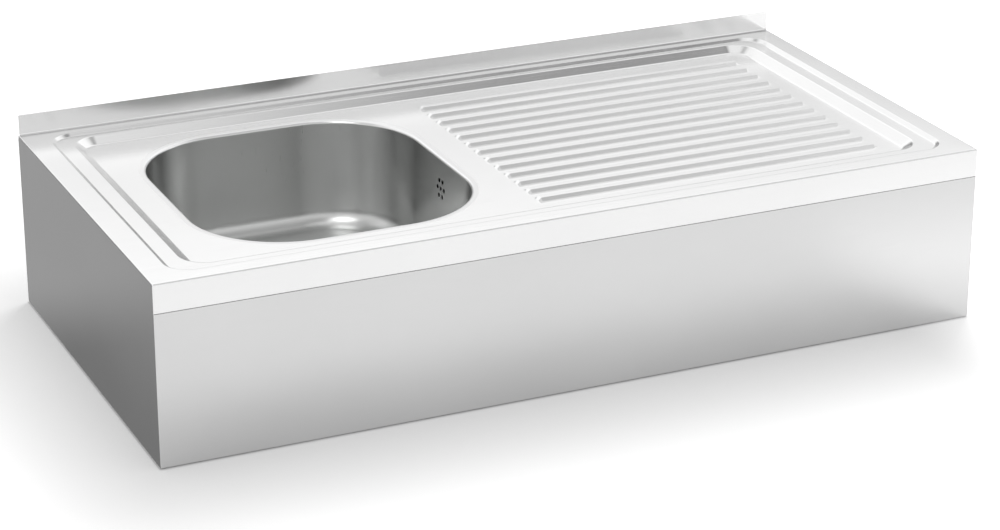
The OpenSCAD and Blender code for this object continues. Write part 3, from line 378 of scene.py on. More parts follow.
class Nodes:
    """A short way to add and join shader nodes."""

    def __init__(self, tree):
        self.tree = tree

    def fill(self, node, inputs):
        """Joins or sets a node's inputs by name or number."""
        for key, value in dict(inputs).items():
            if isinstance(value, bpy.types.NodeSocket):
                self.tree.links.new(value, node.inputs[key])
            else:
                node.inputs[key].default_value = value
        return node

    def add(self, kind, inputs=(), **settings):
        """Adds a node, sets its settings and fills its inputs."""
        node = self.tree.nodes.new(kind)
        for key, value in settings.items():
            setattr(node, key, value)
        return self.fill(node, inputs)

    def combine(self, operation, a, b=0.0):
        """Joins two values or numbers by an operation."""
        return self.add("ShaderNodeMath", {0: a, 1: b}, operation=operation).outputs[0]

    def plus(self, a, b):
        return self.combine("ADD", a, b)

    def times(self, a, b):
        return self.combine("MULTIPLY", a, b)

    def rest(self, a):
        """What a share leaves of one."""
        return self.combine("SUBTRACT", 1.0, a)

    def between(self, a, b, share_of_b):
        """Two values or numbers mixed by the second one's share."""
        return self.plus(self.times(b, share_of_b), self.times(a, self.rest(share_of_b)))

    def ranged(self, value, low, high, to_low, to_high, smooth=False):
        """Maps a value from one range to another, held at the ends."""
        return self.add("ShaderNodeMapRange", {"Value": value, "From Min": low, "From Max": high,
                                               "To Min": to_low, "To Max": to_high},
                        interpolation_type="SMOOTHSTEP" if smooth else "LINEAR").outputs[0]

    def vector(self, operation, a, b=(0, 0, 0)):
        """A vector from one or two vectors."""
        return self.add("ShaderNodeVectorMath", {0: a, 1: b}, operation=operation).outputs[0]

    def measure(self, operation, a, b=(0, 0, 0)):
        """A number from one or two vectors."""
        return self.add("ShaderNodeVectorMath", {0: a, 1: b}, operation=operation).outputs["Value"]

    def parts(self, vector):
        """A vector's x, y and z."""
        return self.add("ShaderNodeSeparateXYZ", {"Vector": vector}).outputs[:3]

    def noise(self, vector, scale, detail, roughness, stretch=(1, 1, 1), turn=(0, 0, 0)):
        """Noise on a vector that is turned and stretched first."""
        mapped = self.add("ShaderNodeMapping", {"Vector": vector, "Scale": stretch, "Rotation": turn})
        return self.add("ShaderNodeTexNoise", {"Vector": mapped.outputs[0], "Scale": scale, "Detail": detail,
                                               "Roughness": roughness}).outputs["Fac"]

    def mix(self, a, b, factor):
        """Mixes two colours by a factor."""
        return self.add("ShaderNodeMix", {"Factor": factor, "A": a, "B": b},
                        data_type="RGBA").outputs["Result"]

    def tint(self, base, spread, factor):
        """A colour from a share darker to a share lighter, by a factor."""
        dark, light = (tuple(min(1, c * (1 + s)) for c in base) for s in (-spread, spread))
        return self.mix((*dark, 1), (*light, 1), factor)

    def uneven(self, roughness, fine, slow):
        """A roughness that two patterns move, each a value, the range it is read over and its swing."""
        value, span, swing = fine
        moved = self.ranged(value, *span, roughness - swing, roughness + swing)
        value, span, swing = slow
        return self.plus(moved, self.ranged(value, *span, -swing, swing))


def surface_material(name, metallic=0.0):
    """An empty material: its nodes, its shader and its object coordinates."""
    material = bpy.data.materials.new(name)
    material.use_nodes = True
    nodes = Nodes(material.node_tree)
    shader = material.node_tree.nodes["Principled BSDF"]
    shader.inputs["Metallic"].default_value = metallic
    return material, nodes, shader, nodes.add("ShaderNodeTexCoord").outputs["Object"]


def coat(nodes, shader, tone, rough, bumps):
    """Joins a colour and a roughness to the shader, and stacks bumps, each a height and its depth in
    metres, into its normal."""
    below = {}
    for height, depth in bumps:
        bump = nodes.add("ShaderNodeBump", {"Height": height, "Distance": depth, "Strength": 1.0, **below})
        below = {"Normal": bump.outputs[0]}
    nodes.fill(shader, {"Base Color": tone, "Roughness": rough, **below})


def brushed_steel(name, base, roughness, along, across, lean, depth=1.0, lip=None):
    """Satin-brushed sheet. Fine noise drawn out along the brushing moves roughness and a shallow bump,
    long slow noise leaves the sheet a little wavy and cloudy, and a few hair scratches cross the grain.
    Light spreads along across, square to the brushing. A lip, a colour and two heights, is a colour that
    takes over between them; on the bowl it is the worktop's colour at the deck, and the darker base below it
    is painted shade inside the bowl."""
    material, nodes, shader, place = surface_material(name, 1.0)
    drawn = tuple(1 if k == along else 60 for k in range(3))
    hair = tuple(7 if k == along else 130 for k in range(3))
    grain = nodes.noise(place, 14, 3.0, 0.65, drawn)
    fine = nodes.noise(place, 42, 2.0, 0.6, drawn)
    cloud = nodes.noise(place, 3.2, 3.0, 0.55, (1, 1, 1.6))
    wave = nodes.noise(place, 2.1, 1.0, 0.4)
    scratch = nodes.ranged(nodes.noise(place, 21, 1.0, 0.4, hair, (0.05, 0.04, 0.11)), 0.70, 0.78, 0, 1)
    rough = nodes.uneven(roughness, (grain, WIDE, 0.035 * depth), (cloud, MIDDLE, 0.02 * depth))
    rough = nodes.plus(rough, nodes.times(scratch, 0.05 * depth))
    shade = nodes.plus(nodes.times(cloud, 0.6), nodes.times(fine, 0.4))
    tone = nodes.tint(base, 0.03 * depth, nodes.ranged(shade, *MIDDLE, 0, 1))
    # Painted shade: below the lip's heights the sheet keeps its darker base, above them it takes the lip's
    # lighter colour
    if lip:
        finish, *heights = lip
        tone = nodes.mix(tone, (*finish, 1), nodes.ranged(nodes.parts(place)[2], *heights, 0, 1, smooth=True))
    tangent = nodes.add("ShaderNodeCombineXYZ", dict(zip("XYZ", across))).outputs[0]
    nodes.fill(shader, {"Anisotropic": lean, "Tangent": tangent})
    coat(nodes, shader, tone, rough,
         [(wave, 0.8 * MM), (grain, 0.005 * MM * depth), (fine, 0.002 * MM * depth)])
    return material


def spun_steel(name, base, roughness, centre):
    """Steel turned or polished in rings about an upright axis: the noise reads the distance from the
    axis and the height, so it runs round the piece."""
    material, nodes, shader, place = surface_material(name, 1.0)
    moved = nodes.add("ShaderNodeMapping", {"Vector": place, "Location": (-centre[0], -centre[1], 0)})
    x, y, z = nodes.parts(moved.outputs[0])
    away = nodes.measure("LENGTH", nodes.add("ShaderNodeCombineXYZ", {"X": x, "Y": y}).outputs[0])
    rings = nodes.add("ShaderNodeCombineXYZ", {"X": away, "Y": z}).outputs[0]
    turned = nodes.noise(rings, 900, 2.0, 0.6)
    cloud = nodes.noise(place, 30, 3.0, 0.5)
    coat(nodes, shader, nodes.tint(base, 0.05, cloud),
         nodes.uneven(roughness, (turned, WIDE, 0.04), (cloud, MIDDLE, 0.03)),
         [(turned, 0.01 * MM), (cloud, 0.03 * MM)])
    return material


def zinc_plate(name, base, roughness, grain_scale):
    """Plated or dipped steel: cells of a Voronoi pattern shift the shade and roughness as zinc spangle."""
    material, nodes, shader, place = surface_material(name, 1.0)
    cells = nodes.add("ShaderNodeTexVoronoi", {"Vector": place, "Scale": grain_scale}).outputs["Color"]
    spangle = nodes.add("ShaderNodeSeparateColor", {"Color": cells}).outputs[0]
    cloud = nodes.noise(place, 60, 4.0, 0.6)
    coat(nodes, shader, nodes.tint(base, 0.12, spangle),
         nodes.uneven(roughness, (spangle, (0, 1), 0.06), (cloud, WIDE, 0.05)),
         [(spangle, 0.012 * MM), (cloud, 0.04 * MM)])
    return material


def moulded(name, base, roughness, speckle, texture_depth, grain_scale=900.0):
    """Moulded plastic or rubber: slow mottling of the colour, dust in the pores and a fine spark-eroded
    texture in the bump."""
    material, nodes, shader, place = surface_material(name)
    mottle = nodes.noise(place, 35, 4.0, 0.55)
    pores = nodes.noise(place, grain_scale, 2.0, 0.6)
    coat(nodes, shader, nodes.tint(base, speckle, mottle),
         nodes.uneven(roughness, (pores, WIDE, 0.05), (mottle, WIDE, 0.05)),
         [(pores, texture_depth), (mottle, texture_depth * 4)])
    return material


def pressed_wood(name, base, roughness):
    """Raw flake board: stretched flakes and finer fibres shift the colour, and the flakes stand out a
    little at their edges."""
    material, nodes, shader, place = surface_material(name)
    laid = nodes.add("ShaderNodeMapping", {"Vector": place, "Scale": (1.0, 2.6, 6.0)}).outputs[0]
    flakes = nodes.add("ShaderNodeTexVoronoi", {"Vector": laid, "Scale": 120}).outputs
    tone = nodes.add("ShaderNodeSeparateColor", {"Color": flakes["Color"]}).outputs[1]
    fibres = nodes.noise(place, 160, 5.0, 0.65, (1, 5, 5))
    tone = nodes.tint(base, 0.35, nodes.plus(nodes.times(tone, 0.55), nodes.times(fibres, 0.45)))
    coat(nodes, shader, tone, roughness, [(flakes["Distance"], 0.2 * MM), (fibres, 0.1 * MM)])
    return material


def sink_materials():
    """Every finish of the sink by its slot, made once."""
    finish = bpy.context.scene.sink_finishes
    low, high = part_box("waste_flange")
    axis = ((low.x + high.x) / 2, (low.y + high.y) / 2)
    rough, lean = finish.sheet_roughness, finish.grain_lean
    # The bowl's lip takes the worktop's colour at the deck; the bowl's darker base below it is painted shade
    lip = (finish.worktop, DECK_Z - 3 * MM, DECK_Z - 0.5 * MM)
    recipes = {
        "worktop_steel": (brushed_steel, finish.worktop, rough, 0, (0, 0.8, 0.6), lean),
        "panel_steel": (brushed_steel, finish.panel, rough, 0, (0, 0.3, 0.95), lean),
        "end_steel": (brushed_steel, finish.panel, rough, 1, (0.3, 0, 0.95), lean),
        "bowl_steel": (brushed_steel, finish.bowl, finish.bowl_roughness, 2, (0.25, 0.2, 0.95), 0.6,
                       0.12, lip),
        "waste_steel": (spun_steel, finish.waste, 0.22, axis),
        "polished_steel": (spun_steel, finish.polished, 0.10, axis),
        "brass": (spun_steel, finish.brass, 0.25, axis),
        "zinc_fasteners": (zinc_plate, finish.zinc, 0.32, 500),
        "galvanised_steel": (zinc_plate, finish.galvanised, 0.40, 110),
        "board": (pressed_wood, finish.board, 0.8),
        "damping_rubber": (moulded, finish.damping, 0.75, 0.25, 0.12 * MM, 500),
        "gasket_rubber": (moulded, finish.gasket, 0.55, 0.15, 0.03 * MM),
        "waste_plastic": (moulded, finish.plastic, 0.38, 0.04, 0.02 * MM),
        "overflow_plastic": (moulded, finish.overflow, 0.45, 0.08, 0.02 * MM),
        "hose_plastic": (moulded, finish.hose, 0.42, 0.05, 0.02 * MM),
    }
    return {slot: bpy.data.materials.get("sink_" + slot) or make("sink_" + slot, *values)
            for slot, (make, *values) in recipes.items()}


# Worktop


def bowl_corners(bowl):
    """How far the bowl's lip reaches out from its corners' middles, and the box of those middles."""
    reach = bowl.corner_r + (bowl.edge_r + bowl.lip)
    return reach, box_sides(LIP) + INWARD * reach


class WorktopPlan:
    """Places and margins that the worktop's surfaces share."""

    def __init__(self, top, drainer, bowl):
        border = np.array(top.border)
        self.step1_centres = box_sides(SHEET) + INWARD * (border + top.step1_r)
        step2_top = border + top.step1_w + np.array(top.ledge)
        self.step2_centres = box_sides(SHEET) + INWARD * (step2_top + top.step2_r)
        deck_r = top.step2_r - top.step2_w
        self.field_reach = deck_r - top.deck_margin
        self.margin = self.field_reach * np.linspace(0, 1, HALF_CORNER + 1)
        self.bowl_reach, self.bowl_centres = bowl_corners(bowl)
        lip_reach = bowl.edge_r + bowl.lip
        wall_x = LIP[1][0] - lip_reach
        x0, x1, y0, y1 = self.step2_centres
        self.split_x = wall_x + drainer.field_gap + lip_reach
        self.bowl_field = np.array([x0, self.split_x - self.field_reach, y0, y1])
        self.rib_x = (wall_x + drainer.left_gap, x1 + deck_r - drainer.right_gap)
        first = y0 - deck_r + drainer.front_gap + drainer.width / 2
        self.rib_y = first + drainer.pitch * np.arange(drainer.count)
        slope, radii = drainer.side_w, [drainer.top_r, drainer.foot_r]
        self.rib_side = step_down(slope, drainer.height, 0, radii, RIB_STEPS)
        self.crown = ((self.rib_x[1] - self.rib_x[0]) / 2 - slope, drainer.width / 2 - slope)
        out = self.rib_side[:, 0]
        self.field_xs = np.concatenate([self.rib_x[0] + slope - out[::-1], self.rib_x[1] - slope + out])
        self.field_ys = np.concatenate([
            np.concatenate([y - self.crown[1] - out[::-1], y + self.crown[1] + out]) for y in self.rib_y])
        self.front_xs = np.concatenate([self.split_x - self.margin[::-1], self.field_xs])


def rim(plan, top):
    """The flat border, both steps and the deck's margin: rings that share their corners' middles, each
    ring set in and lowered by the steps' rounded profiles."""
    sides = (plan.field_ys, plan.front_xs[::-1], (), plan.front_xs)
    ledge_z = BORDER_Z - top.step1_drop
    step1 = step_down(top.step1_w, BORDER_Z, ledge_z, [top.step1_top_r, top.step1_low_r])
    step2 = step_down(top.step2_w, ledge_z, DECK_Z, [top.step2_top_r, top.step2_low_r])
    x0, x1, y0, y1 = plan.step1_centres
    left, right, front, back = box_sides(SHEET)
    edge = top.fold_r
    reach = (x0 - left - edge, right - edge - x1, y0 - front - edge, back - top.sheet_t - top.foot_r - y1)
    rows = [outline(plan.step1_centres, reach, BORDER_Z, sides, square=True)]
    rows += [outline(plan.step1_centres, [top.step1_r - d] * 4, z, sides) for d, z in step1]
    rows += [outline(plan.step2_centres, [top.step2_r - d] * 4, z, sides) for d, z in step2]
    rows += [outline(plan.step2_centres, [plan.field_reach] * 4, DECK_Z, sides, square=True)]
    return rows


def bowl_field(plan):
    """The flat deck round the bowl: a ring on the bowl's lip and one on the field's square outline."""
    outer = outline(plan.bowl_field, [plan.field_reach] * 4, DECK_Z, (plan.field_ys, (), (), ()), square=True)
    y0, y1 = plan.bowl_field[2:]
    b0, b1 = plan.bowl_centres[2:]
    inner_ys = b0 + (plan.field_ys - y0) * (b1 - b0) / (y1 - y0)
    inner = outline(plan.bowl_centres, [plan.bowl_reach] * 4, DECK_Z, (inner_ys, (), (), ()))
    return np.stack((outer, inner))


def drainer_field(plan):
    """The ribbed field: a rib's height depends on how far a point lies outside its flat crown's
    rectangle, along or across, whichever is more. So sides and ends slope alike and meet in mitres."""
    x1, y0, y1 = plan.step2_centres[1:]
    xs = np.concatenate([[plan.split_x], plan.field_xs, x1 + plan.margin])
    ys = np.concatenate([y0 - plan.margin[::-1], plan.field_ys, y1 + plan.margin])
    x, y = np.meshgrid(xs, ys)
    beyond_end = np.abs(x - sum(plan.rib_x) / 2) - plan.crown[0]
    nearest = plan.rib_y[np.argmin(np.abs(y[..., None] - plan.rib_y), -1)]
    beyond_side = np.abs(y - nearest) - plan.crown[1]
    z = DECK_Z + np.interp(np.maximum(beyond_end, beyond_side), *plan.rib_side.T)
    return np.stack((x, y, z), -1)


def turned_corner(profile, axis_at, side):
    """A folded edge's profile turned a quarter round an upright axis, from the front to one end."""
    out = axis_at[1] - profile[:, :1]
    x = axis_at[0] + side * out * np.sin(QUARTER)
    y = axis_at[1] - out * np.cos(QUARTER)
    return np.stack((x, y, np.broadcast_to(profile[:, 1:], x.shape)), -1)


def folded_front(xs, low_y, z0, z1, side_r, radii, return_d, top_run):
    """A front face with its upper and lower edges folded in to the radii given, and its two upright
    edges rounded."""
    profile = filleted([(low_y + top_run, z1), (low_y, z1), (low_y, z0), (low_y + return_d, z0)], radii)
    axis_y = low_y + side_r
    bend = np.concatenate([[(axis_y, z1)], profile[1:-1], [(axis_y, z0)]])
    return [surface(extruded(profile, xs, 0), flip=True),
            surface(turned_corner(bend, (xs[0], axis_y), -1)),
            surface(turned_corner(bend, (xs[-1], axis_y), 1), flip=True)]


def worktop_surfaces(plan, top):
    """Every surface of the worktop's upper and outer face."""
    rows = rim(plan, top)
    x, y = rows[0][:, 0], rows[0][:, 1]
    xs = np.unique(np.round(x[np.isclose(y, y.min())], 7))
    parts = [surface(rows, closed=True), surface(bowl_field(plan), closed=True), surface(drainer_field(plan))]
    r = top.fold_r
    parts += folded_front(xs, SHEET[0][1], SHEET[0][2], BORDER_Z, r, [r, top.seam_r], top.return_d, r)
    upright_y = SHEET[1][1] - top.sheet_t
    upstand = filleted([(upright_y - top.foot_r, BORDER_Z), (upright_y, BORDER_Z), (upright_y, SHEET[1][2])],
                       [top.foot_r])[1:]
    parts += [surface(extruded(upstand, xs, 0))]
    for end_x, edge_x, side in ((x.min(), xs[0], -1), (x.max(), xs[-1], 1)):
        ys = np.unique(np.round(np.append(y[np.isclose(x, end_x)], SHEET[1][1]), 7))
        fold = np.stack((edge_x + side * r * np.sin(QUARTER), BORDER_Z - r + r * np.cos(QUARTER)), 1)
        parts += [surface(extruded(fold, ys, 1), flip=side > 0)]
    return parts


class SINK_OT_worktop(bpy.types.Operator):
    """Builds the worktop: stepped rim, ribbed drainer, fascia and upstand in one sheet"""

    bl_idname = "sink.worktop"
    bl_label = "Worktop"

    def execute(self, context):
        scene = context.scene
        top = scene.sink_worktop
        plan = WorktopPlan(top, scene.sink_drainer, scene.sink_bowl)
        folded_sheet("worktop_sheet", worktop_surfaces(plan, top), top.sheet_t, "worktop_steel", "worktop")
        return {"FINISHED"}


# Bowl

DISH_ROUND = 250 * MM    # rounding at the dish's edge
RECESS_ROUND = 1.2 * MM
PIN_SIDES = 24
PIN_IN, PIN_OUT = 12 * MM, 8 * MM    # how far a cutting pin reaches inside and outside the wall


def bowl_rows(bowl):
    """Rings down the bowl: lip, rounded edge, drafted wall, rounded foot, floor, dish, recess, drain."""
    centres = bowl_corners(bowl)[1]
    floor_z = DECK_Z - bowl.depth
    lean = bowl.depth * math.tan(bowl.draft)
    side = filleted([(-(bowl.edge_r + bowl.lip), DECK_Z), (0, DECK_Z), (lean, floor_z),
                     (lean + 3 * bowl.floor_r, floor_z)], [bowl.edge_r, bowl.floor_r], BOWL_STEPS)[:-1]
    rows = [outline(centres, [bowl.corner_r - d] * 4, z) for d, z in side]
    x, y = (centres[0] + centres[1]) / 2, (centres[2] + centres[3]) / 2
    dish_z = floor_z - bowl.fall
    recess_z = dish_z - bowl.recess_h
    dish = filleted([(2 * bowl.dish_r, floor_z), (bowl.dish_r, floor_z), (bowl.recess_r, dish_z),
                     (bowl.recess_r, recess_z), (bowl.drain_r, recess_z)],
                    [DISH_ROUND, RECESS_ROUND, RECESS_ROUND], DISH_STEPS)[1:]
    rows += [outline((x, x, y, y), [r] * 4, z) for r, z in dish]
    return rows, centres


def overflow_cutter(bowl, centres):
    """Seven round pins through the right wall, in level rows of two, three and two."""
    spots = [((i - (n - 1) / 2) * bowl.hole_pitch, row * bowl.hole_row)
             for row, n in ((-1, 2), (0, 3), (1, 2)) for i in range(n)]
    wall_x = centres[1] + bowl.corner_r
    middle_y, middle_z = (centres[2] + centres[3]) / 2 - bowl.hole_offset, DECK_Z - bowl.hole_drop
    a = np.linspace(0, 2 * math.pi, PIN_SIDES, endpoint=False)
    parts = []
    for y, z in spots:
        circle = np.stack((middle_y + y + bowl.hole_r * np.cos(a), middle_z + z + bowl.hole_r * np.sin(a)), 1)
        rings = extruded(circle, [wall_x - PIN_IN, wall_x + PIN_OUT], 0).transpose(1, 0, 2)
        middles = rings.mean(1, keepdims=True).repeat(PIN_SIDES, 1)
        parts.append(surface(np.concatenate((middles[:1], rings, middles[1:])), closed=True))
    return mesh_object("overflow_cutter", *joined(*parts))


class SINK_OT_bowl(bpy.types.Operator):
    """Builds the deep-drawn bowl with its overflow holes and drain"""

    bl_idname = "sink.bowl"
    bl_label = "Bowl"

    def execute(self, context):
        bowl = context.scene.sink_bowl
        rows, centres = bowl_rows(bowl)
        piece = mesh_object("bowl_shell", *surface(rows, closed=True))
        thicken(piece, bowl.sheet_t)
        cutter = overflow_cutter(bowl, centres)
        modify(piece, "Overflow holes", "BOOLEAN", object=cutter, operation="DIFFERENCE", solver="EXACT")
        apply_modifiers(piece)
        bpy.data.objects.remove(cutter)
        dress(piece, "bowl_steel", "bowl")
        return {"FINISHED"}


# Skirt

UNDER_FASCIA = 0.3 * MM    # from the worktop's fold down to a side panel's edge
CLEAR = 0.1 * MM           # between a panel and the sheet above or behind it
HAIR = 0.05 * MM           # between a panel's flange and its face
FLANGE_H = 12 * MM


class SINK_OT_skirt(bpy.types.Operator):
    """Builds the front apron and both side panels with their folds"""

    bl_idname = "sink.skirt"
    bl_label = "Skirt"

    def execute(self, context):
        top = context.scene.sink_worktop
        r, t, d = top.fold_r, top.sheet_t, top.return_d
        x0, x1, y0, y1 = box_sides(SHEET)
        front = folded_front([x0 + r, x1 - r], y0, 0.0, APRON_TOP, r, [top.seam_r, r], d, d)
        folded_sheet("front_apron_sheet", front, t, "panel_steel", "front_apron")
        flange_z = BORDER_Z - t - CLEAR
        for side, edge, name in ((1, x0, "left"), (-1, x1, "right")):
            face = filleted([(edge, BORDER_Z - r - UNDER_FASCIA), (edge, 0), (edge + side * d, 0)], [r])
            flange_x = edge + side * (t + HAIR)
            flange = filleted([(edge + side * d, flange_z), (flange_x, flange_z),
                               (flange_x, BORDER_Z - FLANGE_H)], [t])
            surfaces = [surface(extruded(profile, ends, 1), flip=side < 0) for profile, ends in
                        ((face, [y0 + r, y1 - t - CLEAR]), (flange, [y0 + d, y1 - d]))]
            folded_sheet(name + "_panel_sheet", surfaces, t, "panel_steel", name + "_side_panel", "end_steel")
        return {"FINISHED"}


# Overflow hose

RINGS_A_RIB = 8
BORE_RING_EVERY = 4    # the smooth bore keeps every fourth ring
HOSE_SIDES = 28
RIB_FULLNESS = 0.7     # under 1, a rib is fuller than a cosine


class SINK_OT_hose(bpy.types.Operator):
    """Builds the ribbed overflow hose along its bend"""

    bl_idname = "sink.hose"
    bl_label = "Overflow Hose"

    def execute(self, context):
        """Straight down the spigot's lean, round an arc, then level: each ring's middle is the point at
        its length along that line, and its radius a cosine wave raised on the hose between the cuffs."""
        hose = context.scene.sink_hose
        draft = context.scene.sink_bowl.draft
        low, high = (np.array(c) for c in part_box("overflow_hose"))
        y = (low[1] + high[1]) / 2
        level_z = low[2] + (hose.outer_r + hose.rib_h)
        turn = math.pi / 2 - draft
        down = np.array([-math.sin(draft), -math.cos(draft)])
        out = np.array([math.cos(draft), -math.sin(draft)])
        start = np.array([high[0] - hose.outer_r * out[0], high[2] + hose.outer_r * out[1]])
        drop = (start[1] - level_z - hose.bend_r * (1 - math.sin(draft))) / math.cos(draft)
        centre = start + down * drop - hose.bend_r * out
        arc = hose.bend_r * turn
        total = drop + arc + (centre[0] - low[0])
        ribs = int((total - 2 * hose.cuff) / hose.rib_pitch)
        edge = (total - ribs * hose.rib_pitch) / 2
        along = edge + hose.rib_pitch / RINGS_A_RIB * np.arange(RINGS_A_RIB * ribs + 1)
        s = np.concatenate([[0], along, [total]])
        wave = 0.5 - 0.5 * np.cos(2 * math.pi * (s - edge) / hose.rib_pitch)
        ribbed = (s >= edge) & (s <= total - edge)
        radius = hose.outer_r + np.where(ribbed, hose.rib_h * wave ** RIB_FULLNESS, 0)
        s = np.concatenate([s, s[::-1][::BORE_RING_EVERY]])
        radius = np.concatenate([radius, np.full(len(s) - len(radius), hose.bore_r)])
        bend = np.clip((s - drop) / arc, 0, 1) * turn
        ring_out = np.stack((np.cos(-draft - bend), np.sin(-draft - bend)), 1)
        before = np.minimum(s - drop, 0)[:, None] * down
        after = np.maximum(s - drop - arc, 0)[:, None] * np.array([-1.0, 0.0])
        middle = centre + hose.bend_r * ring_out + before + after
        a = np.linspace(0, 2 * math.pi, HOSE_SIDES, endpoint=False)
        across = radius[:, None] * np.cos(a)
        grid = np.stack((middle[:, :1] + across * ring_out[:, :1], y + radius[:, None] * np.sin(a),
                         middle[:, 1:] + across * ring_out[:, 1:]), -1)
        grid = np.concatenate((grid, grid[:1]))
        piece = mesh_object("overflow_hose_ribbed", *surface(grid, closed=True, flip=True))
        dress(piece, "hose_plastic", "overflow_hose", sharp_from=HOSE_SHARP_FROM)
        return {"FINISHED"}


# Fittings kept from the construction


class SINK_OT_fittings(bpy.types.Operator):
    """Gives every kept node the finish of its material slot, but the overflow housing a near-black one as
    painted shade behind its holes
    """

    bl_idname = "sink.fittings"
    bl_label = "Fittings"

    def execute(self, context):
        materials = sink_materials()
        for part in frame["record"]["subparts"]:
            node = frame["nodes"][part["node"]]
            node.data.materials.clear()
            # Painted shade: the overflow housing takes the near-black finish instead of its slot's, so its
            # holes read dark
            dark = part["node"] == "overflow_housing"
            node.data.materials.append(materials["overflow_plastic" if dark else part["material_slot"]])
        return {"FINISHED"}


# Studio. Only metal sees the room. A wall is pairs of a place and a grey level: place 0 is a direction
# a little below level, whose z is LOWEST_UP, and 1 is straight up.

LOWEST_UP = -0.25
BACK_WALL = ((0.0, 0.45), (0.24, 0.28), (0.38, 0.24), (0.435, 0.60), (0.485, 1.36), (0.54, 1.49),
             (0.64, 1.22), (0.76, 1.25), (0.87, 1.20), (0.92, 0.50), (1.0, 0.36))
FRONT_WALL = ((0.0, 0.9), (0.30, 1.06), (0.58, 1.08), (0.70, 0.84), (0.84, 0.58), (0.94, 0.42), (1.0, 0.40))
BRIGHTEST = 2.0
LEFT_SHARE, LEFT_SPAN = 0.94, (-0.15, 0.1)    # what the back wall keeps of its light left of these x
BACK_SPAN = (-0.2, 0.3)                       # the y over which the back wall takes over from the front
WINDOW_LIGHT, WINDOW_SLANT = 1.1, 0.2
WINDOW_BACK, WINDOW_FRONT, WINDOW_LEFT = (-0.214, -0.150), (-0.25, -0.20), (0.2, 0.33)    # its edges
# Soft patches: the way to each, its half width and softness in degrees, and what it adds
PATCHES = (((0, 0.03, 1), 18, 6, 0.65), ((0.47, -0.07, 0.88), 8, 4, -0.25),
           ((-0.38, -0.39, 0.85), 10, 5, 4.0))

FLOOR_HALF, FLOOR_DROP = 20, 0.2 * MM
FLOOR_END, FLOOR_END_LOSS = (1.8, 3.2), 0.8    # distances over which the floor darkens in metal
SHADOW_SQUEEZE = (1.5, 1, 0)                   # the glow grows faster to the sides than to the front
# The floor's glow is lower near the skirt than off it: painted shadow
GLOW_REACH = 0.25
# Painted contact shadow: the glow drops to this level within this reach of the skirt
CONTACT_SHADOW_REACH, CONTACT_SHADOW_LEVEL = 5 * MM, 0.2
SIDE_GLOW, SIDE_SPAN = 0.30, (-0.12, 0.05)     # painted light: more glow on the right, over these x from its edge
FRONT_LOSS_SPAN = (-0.5, -0.25)                # painted shade: in metal it fades before the skirt's front

# Cards beside the side panels that only metal sees: painted shade of the floor there
CARD_REACH, CARD_BACK, CARD_Z = 2.0, 1.6, 0.5 * MM
CARD_NEAR, CARD_FAR, CARD_SPAN = 0.235, 0.43, (0.08, 0.38)    # levels, and their change in y
CARD_ASIDE, CARD_ASIDE_SPAN = 0.09, (0.01, 0.16)              # what it gains away from the panel

CAMERA_AT = (-1.59797, -3.54175, 1.64993)
CAMERA_RIGHT = (0.91096559, -0.41248133, 0.00092401)
CAMERA_UP = (0.15474593, 0.3438314, 0.92619311)
CAMERA_BACK = (-0.38235507, -0.84358706, 0.37704838)
LAMP_AT, LAMP_AIM, LAMP_SIZE = (1.3, 1.5, 2.4), (0, 0, 0.1), 1.6
WHITE = (1, 1, 1, 1)


def ramp(nodes, value, stops):
    """A grey level by a value from 0 to 1, eased between stops of place and level. The ramp itself
    holds shares of the brightest level, because it clips at 1."""
    made = nodes.add("ShaderNodeValToRGB", {"Fac": value})
    made.color_ramp.interpolation = "B_SPLINE"
    while len(made.color_ramp.elements) < len(stops):
        made.color_ramp.elements.new(0.5)
    for element, (at, level) in zip(made.color_ramp.elements, stops):
        element.position = at
        element.color = (*[level / BRIGHTEST] * 3, 1)
    return nodes.times(made.outputs["Color"], BRIGHTEST)


def window(nodes, x, y):
    """Light in the ceiling before the sink, on its right: it starts softly on the left, and its back
    edge slants with x."""
    slanted = nodes.plus(y, nodes.times(x, WINDOW_SLANT))
    light = nodes.times(nodes.ranged(slanted, *WINDOW_BACK, 0, WINDOW_LIGHT),
                        nodes.ranged(y, *WINDOW_FRONT, 1, 0))
    return nodes.times(light, nodes.ranged(x, *WINDOW_LEFT, 0, 1, smooth=True))


def soft_patch(nodes, direction, toward, wide, soft, strength):
    """A soft round patch of light or shade in the sky, by the cosine to its middle."""
    near = nodes.measure("DOT_PRODUCT", direction, tuple(Vector(toward).normalized()))
    edges = (math.cos(math.radians(angle)) for angle in (wide + soft, max(0, wide - soft)))
    return nodes.ranged(near, *edges, 0, strength, smooth=True)


def seen_directly(nodes):
    """Camera and transmission rays, and glossy rays that come from no matt surface, as one mask, and
    those glossy rays alone."""
    path = nodes.add("ShaderNodeLightPath").outputs
    metal = nodes.times(path["Is Glossy Ray"], nodes.combine("LESS_THAN", path["Diffuse Depth"], 0.5))
    clear = nodes.combine("MAXIMUM", path["Is Camera Ray"], path["Is Transmission Ray"])
    return nodes.combine("MAXIMUM", clear, metal), metal


